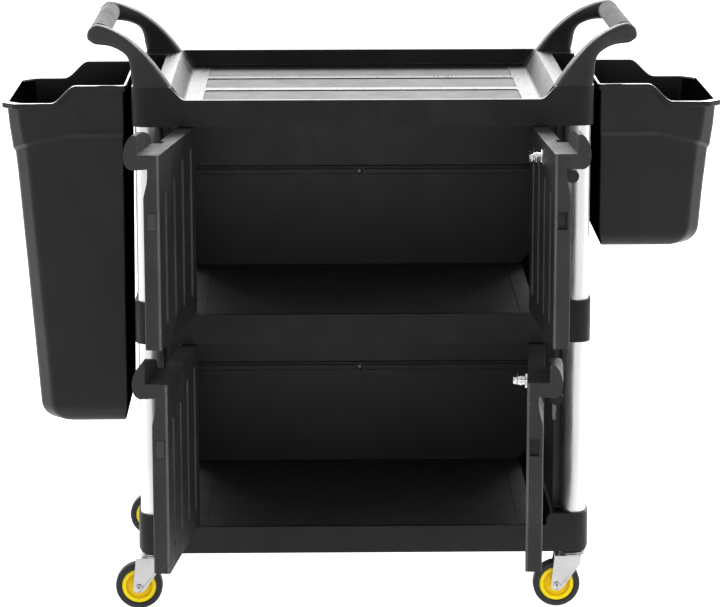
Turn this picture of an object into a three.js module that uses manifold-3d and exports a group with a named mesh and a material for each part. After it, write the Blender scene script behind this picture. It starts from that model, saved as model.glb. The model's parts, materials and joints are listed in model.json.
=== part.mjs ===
// Housekeeping cart: three moulded shelves on aluminium posts, two lockable cupboards,
// a push handle and a lift-off bin at each end, and four swivel castors.
// Millimetres. +X runs along the cart to the right, the doors face -Y, +Z is up.

import * as THREE from 'three';
import { mergeVertices } from 'three/addons/utils/BufferGeometryUtils.js';
import Module from 'manifold-3d';

const wasm = await Module();
wasm.setup();

// ---------------------------------------------------------------- driving dimensions

const GAP = 0.3;                       // clearance between touching pieces
const BODY_HALF_LENGTH = 358;
const BODY_HALF_DEPTH = 227;
const CORNER_RADIUS = 25;
const WALL = 5;                        // moulded skirt and floor thickness
const FRONT_WALL = 8;
const REAR_INNER_Y = 206;              // inner face of each shelf's rear wall

const TRAY = { top: 842, bottom: 781 };
const MIDDLE = { top: 503.5, bottom: 437.2 };
const LOWEST = { top: 158.5, bottom: 95.6 };
const RIM_DROP = 19.5;                 // the middle of the front rim lies this far below the top
const FLOOR_DROP = 27;                 // the shelf floor lies this far below the top
const BASIN_HALF_TOP = 297;            // half length of the basin at the top
const BASIN_HALF_FLOOR = 277;
const INSET_DEPTH = 1.5;               // panels sunk in the shelf floors
const INSET_HALF_LENGTH = 249;
const TRAY_INSETS = [[-196, -66], [-40, 66], [88, 196]];
const SHELF_INSETS = [[-190, 190]];
const NOTCH_HALF_RIM = 279;            // half length of the lowered front at rim level

const POST_X = 334;
const POST_Y = 203;
const POST_RADIUS = 20;
const POST_WALL = 1.6;
const POST_SEGMENTS = 20;
const POST_SOCKET = 34;                // depth of the posts' sockets under the tray
const POST_FOOT = 16;                  // plastic left under the posts in the lowest shelf
const TOWER_RADIUS = 25;

const PIVOT_X = 273;                   // door hinge axes
const PIVOT_Y = -212.5;
const DOOR_THICKNESS = 25;
const DOOR_HEIGHT = 293;
const DOOR_REACH = 271;                // hinge axis to free edge
const DOOR_LIFT = 2.4;                 // door foot above the front rim
const DOOR_MAX_OPEN = 104;             // degrees from closed
const ROD_RADIUS = 3;
const BOSS_RADIUS = 8;                 // socket round each end of a hinge rod

const RECESS_DEPTH = 7;                // finger room behind the pull
const RECESS_LENGTH = 130;
const LUG_LENGTH = 110;
const GROOVE_HALF_WIDTH = 8;
const GROOVE_DEPTH = 4;
const GROOVE_FOOT = 30;
const GROOVE_SPACING = 64;
const GROOVE_TOPS = [231, 240, 259, 265];
const CATCH = { bottom: 180, top: 207, halfWidth: 7, depth: 8 };

const LOCK_FROM_FREE_EDGE = 125;
const LOCK_BELOW_TOP = 26;
const LOCK_BODY_RADIUS = 7.5;
const PLUG_RADIUS = 4;
const CAM_REACH = 38;
const BOW_RADIUS = 11;
const KEY_STANDOFF = 27;               // the bow's middle stands this far in front of the lock

const PANEL_THICKNESS = 3;
const SIDE_PANEL_X = 304;
const BACK_PANEL_Y = 200;              // front face of the lower back panels
const PANEL_TUCK = 12;                 // panels run this far up behind the skirt above
const UPPER_SEAM = 636;                // where the two back panels of a cupboard lap
const LOWER_SEAM = 296;
const SEAM_BAND = 12;                  // height of the thick edge along a seam
const BAND_PROUD = 3;

const GRIP_X = 411;
const GRIP_Z = 916;
const GRIP_RADIUS = 16;
const GRIP_HALF_LENGTH = 139;
const GRIP_CORE_RADIUS = 10;
const FLUTES = 24;
const FLUTE_DEPTH = 1.1;
const ARM_RING_POINTS = 12;
const ARM_SQUARENESS = 0.55;           // below 1 the arm's section fills its corners out

const BIN_NEAR_X = 368;                // rim edge beside the cart
const BIN_FAR_X = 567;                 // rim edge at the outer end
const BIN_HALF_DEPTH = 145;
const BIN_RIM_Z = 834;
const BIN_RIM_FALL = 28;               // the rim is this much lower at the outer end
const BIN_WALL = 3;
const TALL_BIN_BOTTOM = 282;
const SHORT_BIN_BOTTOM = 569;
const FALL_START = 449;                // where the rim starts to drop
const FALL_END = 489;
const SHOULDER_DROP = 77;              // the bin narrows this far below its rim
const SHOULDER_STEP = 5;
const LIP_HEIGHT = 9;
const LIP_WIDTH = 8;
const NEAR_LIP = 5;                    // the rim stands out less beside the cart
const HOOK_HALF_WIDTH = 90;
const POCKET = { near: 320, far: 352, halfWidth: 155, floor: 794, lip: 826 };

const WHEEL_RADIUS = 37.5;
const HUB_RADIUS = 27.5;
const TYRE_HALF_WIDTH = 12;
const CASTOR_TRAIL = 25;
const FORK_INNER = 14.3;               // half the gap between the fork plates
const FORK_PLATE = 2.5;
const AXLE_RADIUS = 4;
const FORK_TOP = 85.5;
const STEM_RADIUS = 5.5;
const STEM_LENGTH = 12;

const LEFT = -1;
const RIGHT = 1;

// How far each door stands open, in degrees from closed.
const OPEN_ANGLE = { upper_left: 99, lower_left: 97.4, upper_right: 93.5, lower_right: 85.5 };

// ---------------------------------------------------------------- materials

function material(color, roughness, metalness = 0) {
  return new THREE.MeshStandardMaterial({ color, roughness, metalness });
}

const SHELF_PLASTIC = material(0x2b2b2b, 0.6);
const DOOR_PLASTIC = material(0x343434, 0.75);
const PANEL_PLASTIC = material(0x1f1f1f, 0.55);
const BIN_PLASTIC = material(0x262626, 0.45);
const GRIP_RUBBER = material(0x8c8c8c, 0.7);
const SATIN_ALUMINIUM = material(0xdcdcdc, 0.35, 0.9);
const ZINC = material(0xc9ccd0, 0.35, 0.9);
const CHROME = material(0xd5d5d8, 0.15, 1);
const DARK_STEEL = material(0x55585c, 0.4, 0.9);
const YELLOW_PLASTIC = material(0xf5c800, 0.45);
const TYRE_RUBBER = material(0x26262b, 0.8);

// ---------------------------------------------------------------- solids

function toSolid(geometry) {
  const bare = geometry.clone();
  bare.deleteAttribute('normal');
  bare.deleteAttribute('uv');
  const merged = mergeVertices(bare, 1e-4);
  return new wasm.Manifold(new wasm.Mesh({
    numProp: 3,
    vertProperties: new Float32Array(merged.attributes.position.array),
    triVerts: new Uint32Array(merged.index.array),
  }));
}

function toGeometry(solid) {
  const mesh = solid.getMesh();
  const geometry = new THREE.BufferGeometry();
  geometry.setAttribute('position', new THREE.BufferAttribute(mesh.vertProperties, 3));
  geometry.setIndex(new THREE.BufferAttribute(mesh.triVerts, 1));
  return geometry;
}

function join(...geometries) {
  return toGeometry(geometries.map(toSolid).reduce((whole, next) => whole.add(next)));
}

function cut(geometry, ...cutters) {
  const whole = toSolid(geometry);
  return toGeometry(cutters.map(toSolid).reduce((rest, cutter) => rest.subtract(cutter), whole));
}

function overlapOf(first, second) {
  return toGeometry(toSolid(first).intersect(toSolid(second)));
}

// Reflects a geometry in the plane X = 0 and turns its faces back outwards.
function mirrored(geometry) {
  const copy = mergeVertices(stripped(geometry), 1e-4);
  copy.scale(-1, 1, 1);
  const index = copy.index.array;
  for (let i = 0; i < index.length; i += 3) {
    [index[i], index[i + 1]] = [index[i + 1], index[i]];
  }
  return copy;
}

function stripped(geometry) {
  const bare = geometry.clone();
  bare.deleteAttribute('normal');
  bare.deleteAttribute('uv');
  return bare;
}

function sided(geometry, side) {
  return side === LEFT ? mirrored(geometry) : geometry;
}

// ---------------------------------------------------------------- simple shapes

function block(x0, x1, y0, y1, z0, z1) {
  const geometry = new THREE.BoxGeometry(x1 - x0, y1 - y0, z1 - z0);
  return geometry.translate((x0 + x1) / 2, (y0 + y1) / 2, (z0 + z1) / 2);
}

function uprightRod(radius, x, y, z0, z1, segments = 12) {
  const geometry = new THREE.CylinderGeometry(radius, radius, z1 - z0, segments);
  return geometry.rotateX(Math.PI / 2).translate(x, y, (z0 + z1) / 2);
}

function crossRod(radius, x, z, y0, y1, segments = 12) {
  const geometry = new THREE.CylinderGeometry(radius, radius, y1 - y0, segments);
  return geometry.translate(x, (y0 + y1) / 2, z);
}

// A polygon whose corners are [x, y] or [x, y, radius].
function outline(corners) {
  const shape = new THREE.Shape();
  corners.forEach(([x, y, radius = 0], i) => {
    const here = new THREE.Vector2(x, y);
    const before = new THREE.Vector2(...corners.at(i - 1).slice(0, 2));
    const after = new THREE.Vector2(...corners[(i + 1) % corners.length].slice(0, 2));
    const start = here.clone().add(before.sub(here).setLength(radius));
    const end = here.clone().add(after.sub(here).setLength(radius));
    if (i === 0) {
      shape.moveTo(start.x, start.y);
    } else {
      shape.lineTo(start.x, start.y);
    }
    if (radius > 0) {
      shape.quadraticCurveTo(x, y, end.x, end.y);
    }
  });
  shape.closePath();
  return shape;
}

function roundedRectangle(halfX, halfY, radius) {
  return outline([
    [-halfX, -halfY, radius],
    [halfX, -halfY, radius],
    [halfX, halfY, radius],
    [-halfX, halfY, radius],
  ]);
}

function extruded(shape, depth, curveSegments) {
  return new THREE.ExtrudeGeometry(shape, { depth, curveSegments, bevelEnabled: false });
}

// A shape drawn in plan, standing from z0 to z1.
function standing(shape, z0, z1, curveSegments = 4) {
  return extruded(shape, z1 - z0, curveSegments).translate(0, 0, z0);
}

// A shape drawn as (x, z), running from y0 to y1.
function alongY(shape, y0, y1, curveSegments = 3) {
  const turn = new THREE.Matrix4().makeBasis(
    new THREE.Vector3(1, 0, 0),
    new THREE.Vector3(0, 0, 1),
    new THREE.Vector3(0, -1, 0),
  );
  return extruded(shape, y1 - y0, curveSegments).applyMatrix4(turn).translate(0, y1, 0);
}

// A shape drawn as (y, z), running from x0 to x1.
function alongX(shape, x0, x1, curveSegments = 4) {
  const turn = new THREE.Matrix4().makeBasis(
    new THREE.Vector3(0, 1, 0),
    new THREE.Vector3(0, 0, 1),
    new THREE.Vector3(1, 0, 0),
  );
  return extruded(shape, x1 - x0, curveSegments).applyMatrix4(turn).translate(x0, 0, 0);
}

// A closed profile of [radius, height] points, turned about the Z axis.
function turned(profile, segments = 12) {
  const points = profile.map(([radius, height]) => new THREE.Vector2(radius, height));
  return new THREE.LatheGeometry(points, segments).rotateX(Math.PI / 2);
}

// A closed skin through rings of equally many points, capped at both ends.
function loft(rings) {
  const count = rings[0].length;
  const positions = rings.flat().flatMap((point) => [point.x, point.y, point.z]);
  const index = [];
  for (let r = 0; r + 1 < rings.length; r += 1) {
    for (let i = 0; i < count; i += 1) {
      const a = r * count + i;
      const b = r * count + (i + 1) % count;
      index.push(a, b, b + count, a, b + count, a + count);
    }
  }
  const last = (rings.length - 1) * count;
  for (let i = 1; i + 1 < count; i += 1) {
    index.push(0, i + 1, i, last, last + i, last + i + 1);
  }
  const geometry = new THREE.BufferGeometry();
  geometry.setAttribute('position', new THREE.Float32BufferAttribute(positions, 3));
  geometry.setIndex(index);
  return geometry;
}

const cart = new THREE.Group();

function place(name, geometry, finish, parent = cart) {
  const mesh = new THREE.Mesh(geometry, finish);
  mesh.name = name;
  parent.add(mesh);
  return mesh;
}

// ---------------------------------------------------------------- shelves

function basinOutline(level) {
  const floor = level.top - FLOOR_DROP;
  const overshoot = 3;
  const rise = (BASIN_HALF_TOP - BASIN_HALF_FLOOR) / FLOOR_DROP;
  const half = BASIN_HALF_TOP + overshoot * rise;
  return outline([
    [-BASIN_HALF_FLOOR, floor, 3],
    [BASIN_HALF_FLOOR, floor, 3],
    [half, level.top + overshoot],
    [-half, level.top + overshoot],
  ]);
}

function notchOutline(level) {
  const rim = level.top - RIM_DROP;
  const overshoot = 3;
  const half = BASIN_HALF_TOP + overshoot * (BASIN_HALF_TOP - NOTCH_HALF_RIM) / RIM_DROP;
  return outline([
    [-NOTCH_HALF_RIM, rim, 6],
    [NOTCH_HALF_RIM, rim, 6],
    [half, level.top + overshoot],
    [-half, level.top + overshoot],
  ]);
}

// The hollow under a shelf: it follows the basin floor and its sloping ends.
function underside(level) {
  const floor = level.top - FLOOR_DROP - WALL;
  const roof = level.top - WALL;
  const end = BODY_HALF_LENGTH - WALL;
  const section = outline([
    [-end, level.bottom - 1],
    [end, level.bottom - 1],
    [end, roof],
    [BASIN_HALF_TOP + WALL, roof],
    [BASIN_HALF_FLOOR + WALL, floor],
    [-BASIN_HALF_FLOOR - WALL, floor],
    [-BASIN_HALF_TOP - WALL, roof],
    [-end, roof],
  ]);
  const inner = BODY_HALF_DEPTH - WALL;
  const plan = roundedRectangle(end, inner, CORNER_RADIUS - WALL);
  const room = standing(plan, level.bottom - 2, level.top);
  return overlapOf(alongY(section, -BODY_HALF_DEPTH, BODY_HALF_DEPTH), room);
}

const CORNERS = [
  { name: 'front_left', x: -POST_X, y: -POST_Y },
  { name: 'front_right', x: POST_X, y: -POST_Y },
  { name: 'rear_left', x: -POST_X, y: POST_Y },
  { name: 'rear_right', x: POST_X, y: POST_Y },
];

function shelfShell(level) {
  const plan = roundedRectangle(BODY_HALF_LENGTH, BODY_HALF_DEPTH, CORNER_RADIUS);
  const towers = CORNERS.map(({ x, y }) => (
    uprightRod(TOWER_RADIUS, x, y, level.bottom - 3, level.top + 1, 16)
  ));
  const hollow = cut(underside(level), ...towers);
  const basin = alongY(basinOutline(level), -BODY_HALF_DEPTH + FRONT_WALL, REAR_INNER_Y);
  const front = -BODY_HALF_DEPTH;
  const notch = alongY(notchOutline(level), front - 1, front + FRONT_WALL + 1);
  return cut(standing(plan, level.bottom, level.top), hollow, basin, notch);
}

// Sockets under a shelf for the hinge rods of the doors below it, and the rib that the
// lock's cam turns up behind.
function withDoorHead(shell, level) {
  const roof = level.top - FLOOR_DROP - WALL / 2;
  const bosses = [LEFT, RIGHT].map((side) => (
    uprightRod(BOSS_RADIUS, side * PIVOT_X, PIVOT_Y, level.bottom, roof)
  ));
  const camY = PIVOT_Y + DOOR_THICKNESS / 2 + 18;
  const lockX = PIVOT_X - DOOR_REACH + LOCK_FROM_FREE_EDGE;
  const keeper = block(lockX - 30, lockX + 30, camY - 6, camY - 2, level.bottom, roof);
  const bores = [LEFT, RIGHT].map((side) => (
    uprightRod(ROD_RADIUS + GAP, side * PIVOT_X, PIVOT_Y, level.bottom - 1, level.bottom + 18)
  ));
  return cut(join(shell, ...bosses, keeper), ...bores);
}

// Sockets in a shelf's front rim for the rods of the doors above it, and the relief that
// lets each door swing past the corner tower.
function withDoorFoot(shell, level) {
  const rim = level.top - RIM_DROP;
  const floor = level.top - FLOOR_DROP - WALL / 2;
  const bosses = [LEFT, RIGHT].map((side) => (
    uprightRod(BOSS_RADIUS, side * PIVOT_X, PIVOT_Y, floor, rim)
  ));
  const cutters = [LEFT, RIGHT].flatMap((side) => {
    const reach = DOOR_THICKNESS / 2 + 1.2;
    const swing = block(-reach, reach, -60, 0, rim + 0.5, level.top + 1);
    const beyond = THREE.MathUtils.degToRad(DOOR_MAX_OPEN - 90);
    swing.rotateZ(-beyond).translate(-PIVOT_X, PIVOT_Y, 0);
    return [
      uprightRod(ROD_RADIUS + GAP, side * PIVOT_X, PIVOT_Y, rim - 17, rim + 1),
      uprightRod(reach, side * PIVOT_X, PIVOT_Y, rim + 0.5, level.top + 1),
      sided(swing, -side),
    ];
  });
  return cut(join(shell, ...bosses), ...cutters);
}

function postBores(z0, z1) {
  return CORNERS.map(({ x, y }) => uprightRod(POST_RADIUS + GAP, x, y, z0, z1, POST_SEGMENTS));
}

// Shallow panels sunk in a shelf's floor, one for each band of Y.
function floorPanels(level, bands) {
  const floor = level.top - FLOOR_DROP;
  return bands.map(([y0, y1]) => {
    const plan = roundedRectangle(INSET_HALF_LENGTH, (y1 - y0) / 2, 6);
    const panel = standing(plan, floor - INSET_DEPTH, floor + 1, 3);
    return panel.translate(0, (y0 + y1) / 2, 0);
  });
}

function topTray() {
  const { near, far, halfWidth, floor, lip } = POCKET;
  const wall = 4;
  const outside = halfWidth + wall;
  const end = BODY_HALF_LENGTH;
  const pocketShells = [LEFT, RIGHT].map((side) => (
    sided(block(near - wall, end - 1, -outside, outside, floor - wall, TRAY.top), side)
  ));
  const pockets = [LEFT, RIGHT].flatMap((side) => [
    sided(block(near, far, -halfWidth, halfWidth, floor, TRAY.top + 1), side),
    sided(block(far - 1, end + 1, -halfWidth, halfWidth, lip, TRAY.top + 1), side),
  ]);
  const shell = withDoorHead(join(shelfShell(TRAY), ...pocketShells), TRAY);
  const bores = postBores(TRAY.bottom - 1, TRAY.bottom + POST_SOCKET);
  return cut(shell, ...pockets, ...bores, ...floorPanels(TRAY, TRAY_INSETS));
}

function middleShelf() {
  const shell = withDoorFoot(withDoorHead(shelfShell(MIDDLE), MIDDLE), MIDDLE);
  const bores = postBores(MIDDLE.bottom - 1, MIDDLE.top + 1);
  return cut(shell, ...bores, ...floorPanels(MIDDLE, SHELF_INSETS));
}

function lowestShelf() {
  const stems = CORNERS.map(({ x, y }) => (
    uprightRod(STEM_RADIUS + GAP, x, y, LOWEST.bottom - 1, LOWEST.bottom + STEM_LENGTH + GAP)
  ));
  const chamfer = 7;
  const corner = outline([
    [BODY_HALF_LENGTH - chamfer, LOWEST.bottom],
    [BODY_HALF_LENGTH - chamfer, LOWEST.bottom - 1],
    [BODY_HALF_LENGTH + 1, LOWEST.bottom - 1],
    [BODY_HALF_LENGTH + 1, LOWEST.bottom + chamfer],
    [BODY_HALF_LENGTH, LOWEST.bottom + chamfer],
  ]);
  const ends = [LEFT, RIGHT].map((side) => (
    sided(alongY(corner, -BODY_HALF_DEPTH - 1, BODY_HALF_DEPTH + 1), side)
  ));
  const shell = withDoorFoot(shelfShell(LOWEST), LOWEST);
  const bores = postBores(LOWEST.bottom + POST_FOOT, LOWEST.top + 1);
  return cut(shell, ...bores, ...stems, ...ends, ...floorPanels(LOWEST, SHELF_INSETS));
}

place('top_tray', topTray(), SHELF_PLASTIC);
place('middle_shelf', middleShelf(), SHELF_PLASTIC);
place('lowest_shelf', lowestShelf(), SHELF_PLASTIC);

// ---------------------------------------------------------------- posts

const POST_BOTTOM = LOWEST.bottom + POST_FOOT + GAP;
const POST_TOP = TRAY.bottom + POST_SOCKET - GAP;

function post() {
  return turned([
    [POST_RADIUS - POST_WALL, POST_BOTTOM],
    [POST_RADIUS, POST_BOTTOM],
    [POST_RADIUS, POST_TOP],
    [POST_RADIUS - POST_WALL, POST_TOP],
    [POST_RADIUS - POST_WALL, POST_BOTTOM],
  ], POST_SEGMENTS);
}

CORNERS.forEach(({ name, x, y }) => {
  place(`post_${name}`, post(), SATIN_ALUMINIUM).position.set(x, y, 0);
});

// ---------------------------------------------------------------- panels

const TIERS = [
  { name: 'upper', shelf: MIDDLE, above: TRAY, seam: UPPER_SEAM },
  { name: 'lower', shelf: LOWEST, above: MIDDLE, seam: LOWER_SEAM },
];

function sidePanel(tier) {
  const x0 = SIDE_PANEL_X - PANEL_THICKNESS / 2;
  const z0 = tier.shelf.top + GAP;
  return block(x0, x0 + PANEL_THICKNESS, -188, BACK_PANEL_Y - 8, z0, tier.above.bottom + PANEL_TUCK);
}

// The lower back panel drops into the basin, so its foot follows the sloping ends.
function backPanel(tier) {
  const floor = tier.shelf.top - FLOOR_DROP + GAP;
  const side = BASIN_HALF_TOP - 1;
  const shape = outline([
    [-BASIN_HALF_FLOOR + 4, floor],
    [BASIN_HALF_FLOOR - 4, floor],
    [side, tier.shelf.top],
    [side, tier.seam + SEAM_BAND],
    [-side, tier.seam + SEAM_BAND],
    [-side, tier.shelf.top],
  ]);
  const sheet = alongY(shape, BACK_PANEL_Y, BACK_PANEL_Y + PANEL_THICKNESS);
  const screwZ = tier.seam + SEAM_BAND / 2;
  return cut(sheet, crossRod(2.5, 0, screwZ, BACK_PANEL_Y - 1, BACK_PANEL_Y + PANEL_THICKNESS + 1, 8));
}

// The upper back panel laps over the lower one, with a thick band and a screw boss.
function backStrip(tier) {
  const back = BACK_PANEL_Y - GAP;
  const front = back - PANEL_THICKNESS;
  const half = BASIN_HALF_TOP - 1;
  const top = tier.above.bottom + PANEL_TUCK;
  const screwZ = tier.seam + SEAM_BAND / 2;
  const body = join(
    block(-half, half, front, back, tier.seam, top),
    block(-half, half, front - BAND_PROUD, back - 1, tier.seam, tier.seam + SEAM_BAND),
    crossRod(9, 0, screwZ, front - BAND_PROUD - 1.5, back - 1, 16),
  );
  return cut(
    body,
    crossRod(2.5, 0, screwZ, front - 10, back + 1, 8),
    crossRod(5.8, 0, screwZ, front - 10, front - BAND_PROUD + 1, 12),
  );
}

function panelScrew() {
  const head = BACK_PANEL_Y - GAP - PANEL_THICKNESS - BAND_PROUD + 1 - GAP;
  const tip = BACK_PANEL_Y + PANEL_THICKNESS + 4;
  const length = tip - head;
  const profile = [
    [0, 0],
    [2.2, 0],
    [2.2, length],
    [5.4, length],
    [5.4, length + 1.6],
    [0, length + 2.4],
  ];
  return turned(profile).rotateX(Math.PI / 2).translate(0, tip, 0);
}

TIERS.forEach((tier) => {
  place(`${tier.name}_side_panel_left`, mirrored(sidePanel(tier)), PANEL_PLASTIC);
  place(`${tier.name}_side_panel_right`, sidePanel(tier), PANEL_PLASTIC);
  place(`${tier.name}_back_panel`, backPanel(tier), PANEL_PLASTIC);
  place(`${tier.name}_back_strip`, backStrip(tier), PANEL_PLASTIC);
  place(`${tier.name}_panel_screw`, panelScrew(), DARK_STEEL).position.z = tier.seam + SEAM_BAND / 2;
});

// ---------------------------------------------------------------- doors

// Door pieces are drawn closed: hinge axis at the origin, free edge at +X, outer face at
// -Y, foot at Z = 0. Right-hand doors are the mirror image.
const OUTER = -DOOR_THICKNESS / 2;
const INNER = DOOR_THICKNESS / 2;

function doorSlab() {
  const shape = new THREE.Shape();
  shape.moveTo(0, OUTER);
  shape.lineTo(DOOR_REACH - 3, OUTER);
  shape.quadraticCurveTo(DOOR_REACH, OUTER, DOOR_REACH, OUTER + 3);
  shape.lineTo(DOOR_REACH, INNER - 3);
  shape.quadraticCurveTo(DOOR_REACH, INNER, DOOR_REACH - 3, INNER);
  shape.lineTo(0, INNER);
  shape.absarc(0, 0, INNER, Math.PI / 2, Math.PI * 1.5, false);
  return standing(shape, 0, DOOR_HEIGHT, 8);
}

// Finger room behind the pull: full depth at the top, running out downwards.
function fingerRecess() {
  const deep = DOOR_HEIGHT - 39;
  const out = DOOR_HEIGHT - 66;
  const section = outline([
    [OUTER - 1, out - 4],
    [OUTER + RECESS_DEPTH, deep, 8],
    [OUTER + RECESS_DEPTH, DOOR_HEIGHT + 1],
    [OUTER - 1, DOOR_HEIGHT + 1],
  ]);
  return alongX(section, DOOR_REACH - RECESS_LENGTH, DOOR_REACH + 1, 4);
}

// The pull stands in front of the door's top edge, on a web level with it.
function pullLug() {
  const section = new THREE.Shape();
  section.moveTo(OUTER + RECESS_DEPTH + 2, DOOR_HEIGHT - 21);
  section.lineTo(OUTER - 15, DOOR_HEIGHT - 23);
  section.bezierCurveTo(
    OUTER - 26, DOOR_HEIGHT - 23,
    OUTER - 30, DOOR_HEIGHT - 10,
    OUTER - 28.5, DOOR_HEIGHT + 3,
  );
  section.bezierCurveTo(
    OUTER - 26, DOOR_HEIGHT + 18,
    OUTER - 18, DOOR_HEIGHT + 29,
    OUTER - 11, DOOR_HEIGHT + 29,
  );
  section.quadraticCurveTo(OUTER - 9, DOOR_HEIGHT + 29, OUTER - 9, DOOR_HEIGHT + 26);
  section.lineTo(OUTER - 9, DOOR_HEIGHT);
  section.lineTo(OUTER + RECESS_DEPTH + 2, DOOR_HEIGHT);
  section.closePath();
  const bar = alongX(section, DOOR_REACH - LUG_LENGTH, DOOR_REACH, 4);
  const face = outline([
    [DOOR_REACH - LUG_LENGTH, DOOR_HEIGHT - 24, 12],
    [DOOR_REACH, DOOR_HEIGHT - 24],
    [DOOR_REACH, DOOR_HEIGHT + 30],
    [DOOR_REACH - LUG_LENGTH / 2, DOOR_HEIGHT + 27, 24],
    [DOOR_REACH - LUG_LENGTH + 6, DOOR_HEIGHT + 13, 9],
    [DOOR_REACH - LUG_LENGTH, DOOR_HEIGHT - 2, 5],
  ]);
  return overlapOf(bar, alongY(face, OUTER - 40, INNER, 5));
}

function grooves() {
  return GROOVE_TOPS.map((top, i) => {
    const x = DOOR_REACH - 45 - GROOVE_SPACING * i;
    const face = outline([
      [x - GROOVE_HALF_WIDTH, GROOVE_FOOT, GROOVE_HALF_WIDTH],
      [x + GROOVE_HALF_WIDTH, GROOVE_FOOT, GROOVE_HALF_WIDTH],
      [x + GROOVE_HALF_WIDTH, top, GROOVE_HALF_WIDTH],
      [x - GROOVE_HALF_WIDTH, top, GROOVE_HALF_WIDTH],
    ]);
    return alongY(face, INNER - GROOVE_DEPTH, INNER + 1, 2);
  });
}

const LOCK_X = DOOR_REACH - LOCK_FROM_FREE_EDGE;
const LOCK_Z = DOOR_HEIGHT - LOCK_BELOW_TOP;

function door(hasLock) {
  const rod = uprightRod(ROD_RADIUS + GAP, 0, 0, -1, DOOR_HEIGHT + 1);
  const catchPocket = block(
    DOOR_REACH - CATCH.depth, DOOR_REACH + 1, -CATCH.halfWidth, CATCH.halfWidth, CATCH.bottom, CATCH.top,
  );
  const lockHole = crossRod(LOCK_BODY_RADIUS + GAP, LOCK_X, LOCK_Z, OUTER - 1, INNER + 1);
  const holes = hasLock ? [lockHole] : [];
  const slab = cut(doorSlab(), fingerRecess());
  return cut(join(slab, pullLug()), rod, catchPocket, ...grooves(), ...holes);
}

function catchMagnet() {
  const inset = GAP;
  return block(
    DOOR_REACH - CATCH.depth + inset, DOOR_REACH, -CATCH.halfWidth + inset, CATCH.halfWidth - inset,
    CATCH.bottom + inset, CATCH.top - inset,
  );
}

function hingeRod(tier) {
  const z0 = tier.shelf.top - RIM_DROP - 16;
  const z1 = tier.above.bottom + 17;
  return uprightRod(ROD_RADIUS, 0, 0, z0, z1, 16);
}

// ---------------------------------------------------------------- locks

// A turned piece drawn along its own height is laid so that height runs towards +Y.
function laidAlongY(geometry) {
  return geometry.rotateX(-Math.PI / 2).translate(LOCK_X, 0, LOCK_Z);
}

const LOCK_TAIL = INNER + 16;

function lockHousing() {
  const bore = PLUG_RADIUS + GAP;
  return laidAlongY(turned([
    [bore, OUTER - 2],
    [11, OUTER - 2],
    [11, OUTER - GAP],
    [LOCK_BODY_RADIUS, OUTER - GAP],
    [LOCK_BODY_RADIUS, INNER + GAP],
    [13, INNER + GAP],
    [13, INNER + 2.2],
    [LOCK_BODY_RADIUS, INNER + 2.2],
    [LOCK_BODY_RADIUS, LOCK_TAIL],
    [bore, LOCK_TAIL],
    [bore, OUTER - 2],
  ]));
}

function lockCam() {
  const plug = crossRod(PLUG_RADIUS, LOCK_X, LOCK_Z, OUTER - 1.5, LOCK_TAIL + 4, 12);
  const nut = crossRod(6, LOCK_X, LOCK_Z, LOCK_TAIL + 3, LOCK_TAIL + 6, 6);
  const face = outline([
    [LOCK_X - CAM_REACH, LOCK_Z + 6, 3],
    [LOCK_X - CAM_REACH, LOCK_Z - 6, 3],
    [LOCK_X + 7, LOCK_Z - 6, 4],
    [LOCK_X + 7, LOCK_Z + 6, 4],
  ]);
  const tongue = alongY(face, LOCK_TAIL + GAP, LOCK_TAIL + 3, 4);
  return join(plug, nut, tongue);
}

// The key's bow lies in an upright plane through the lock's axis, and a spare key
// hangs behind it on a small ring.
function lockKey() {
  const seat = OUTER - 2;
  const bowY = seat - KEY_STANDOFF;
  const disc = (radius, x, z, thickness) => {
    const geometry = new THREE.CylinderGeometry(radius, radius, thickness, 16);
    return geometry.rotateZ(Math.PI / 2).translate(x, bowY, z);
  };
  const spareX = LOCK_X - 4;
  const stem = block(LOCK_X - 1, LOCK_X + 1, bowY, seat - GAP, LOCK_Z - 3, LOCK_Z + 3);
  const bow = cut(disc(BOW_RADIUS, LOCK_X, LOCK_Z, 3), disc(2, LOCK_X, LOCK_Z - 6, 5));
  const ring = new THREE.TorusGeometry(5, 0.9, 4, 10).rotateX(Math.PI / 2);
  ring.translate(LOCK_X - 2, bowY, LOCK_Z - 9);
  const spareBow = disc(BOW_RADIUS - 2, spareX, LOCK_Z - 10, 2);
  const spareBlade = block(spareX - 0.8, spareX + 0.8, bowY - 3, bowY + 3, LOCK_Z - 41, LOCK_Z - 17);
  return join(bow, stem, ring, spareBow, spareBlade);
}

function hangDoor(tier, side) {
  const name = `${tier.name}_${side === LEFT ? 'left' : 'right'}`;
  const hasLock = side === RIGHT;
  const leaf = new THREE.Group();
  leaf.position.set(side * PIVOT_X, PIVOT_Y, tier.shelf.top - RIM_DROP + DOOR_LIFT);
  leaf.rotation.z = side * THREE.MathUtils.degToRad(OPEN_ANGLE[name]);
  cart.add(leaf);
  place(`${name}_door`, sided(door(hasLock), -side), DOOR_PLASTIC, leaf);
  if (hasLock) {
    place(`${name}_lock_housing`, sided(lockHousing(), -side), CHROME, leaf);
    place(`${name}_lock_cam`, sided(lockCam(), -side), CHROME, leaf);
    place(`${name}_key`, sided(lockKey(), -side), DARK_STEEL, leaf);
  } else {
    place(`${name}_catch_magnet`, sided(catchMagnet(), -side), DARK_STEEL, leaf);
  }
  place(`${name}_hinge_rod`, hingeRod(tier), ZINC).position.set(side * PIVOT_X, PIVOT_Y, 0);
}

TIERS.forEach((tier) => {
  hangDoor(tier, LEFT);
  hangDoor(tier, RIGHT);
});

// ---------------------------------------------------------------- handles

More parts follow.
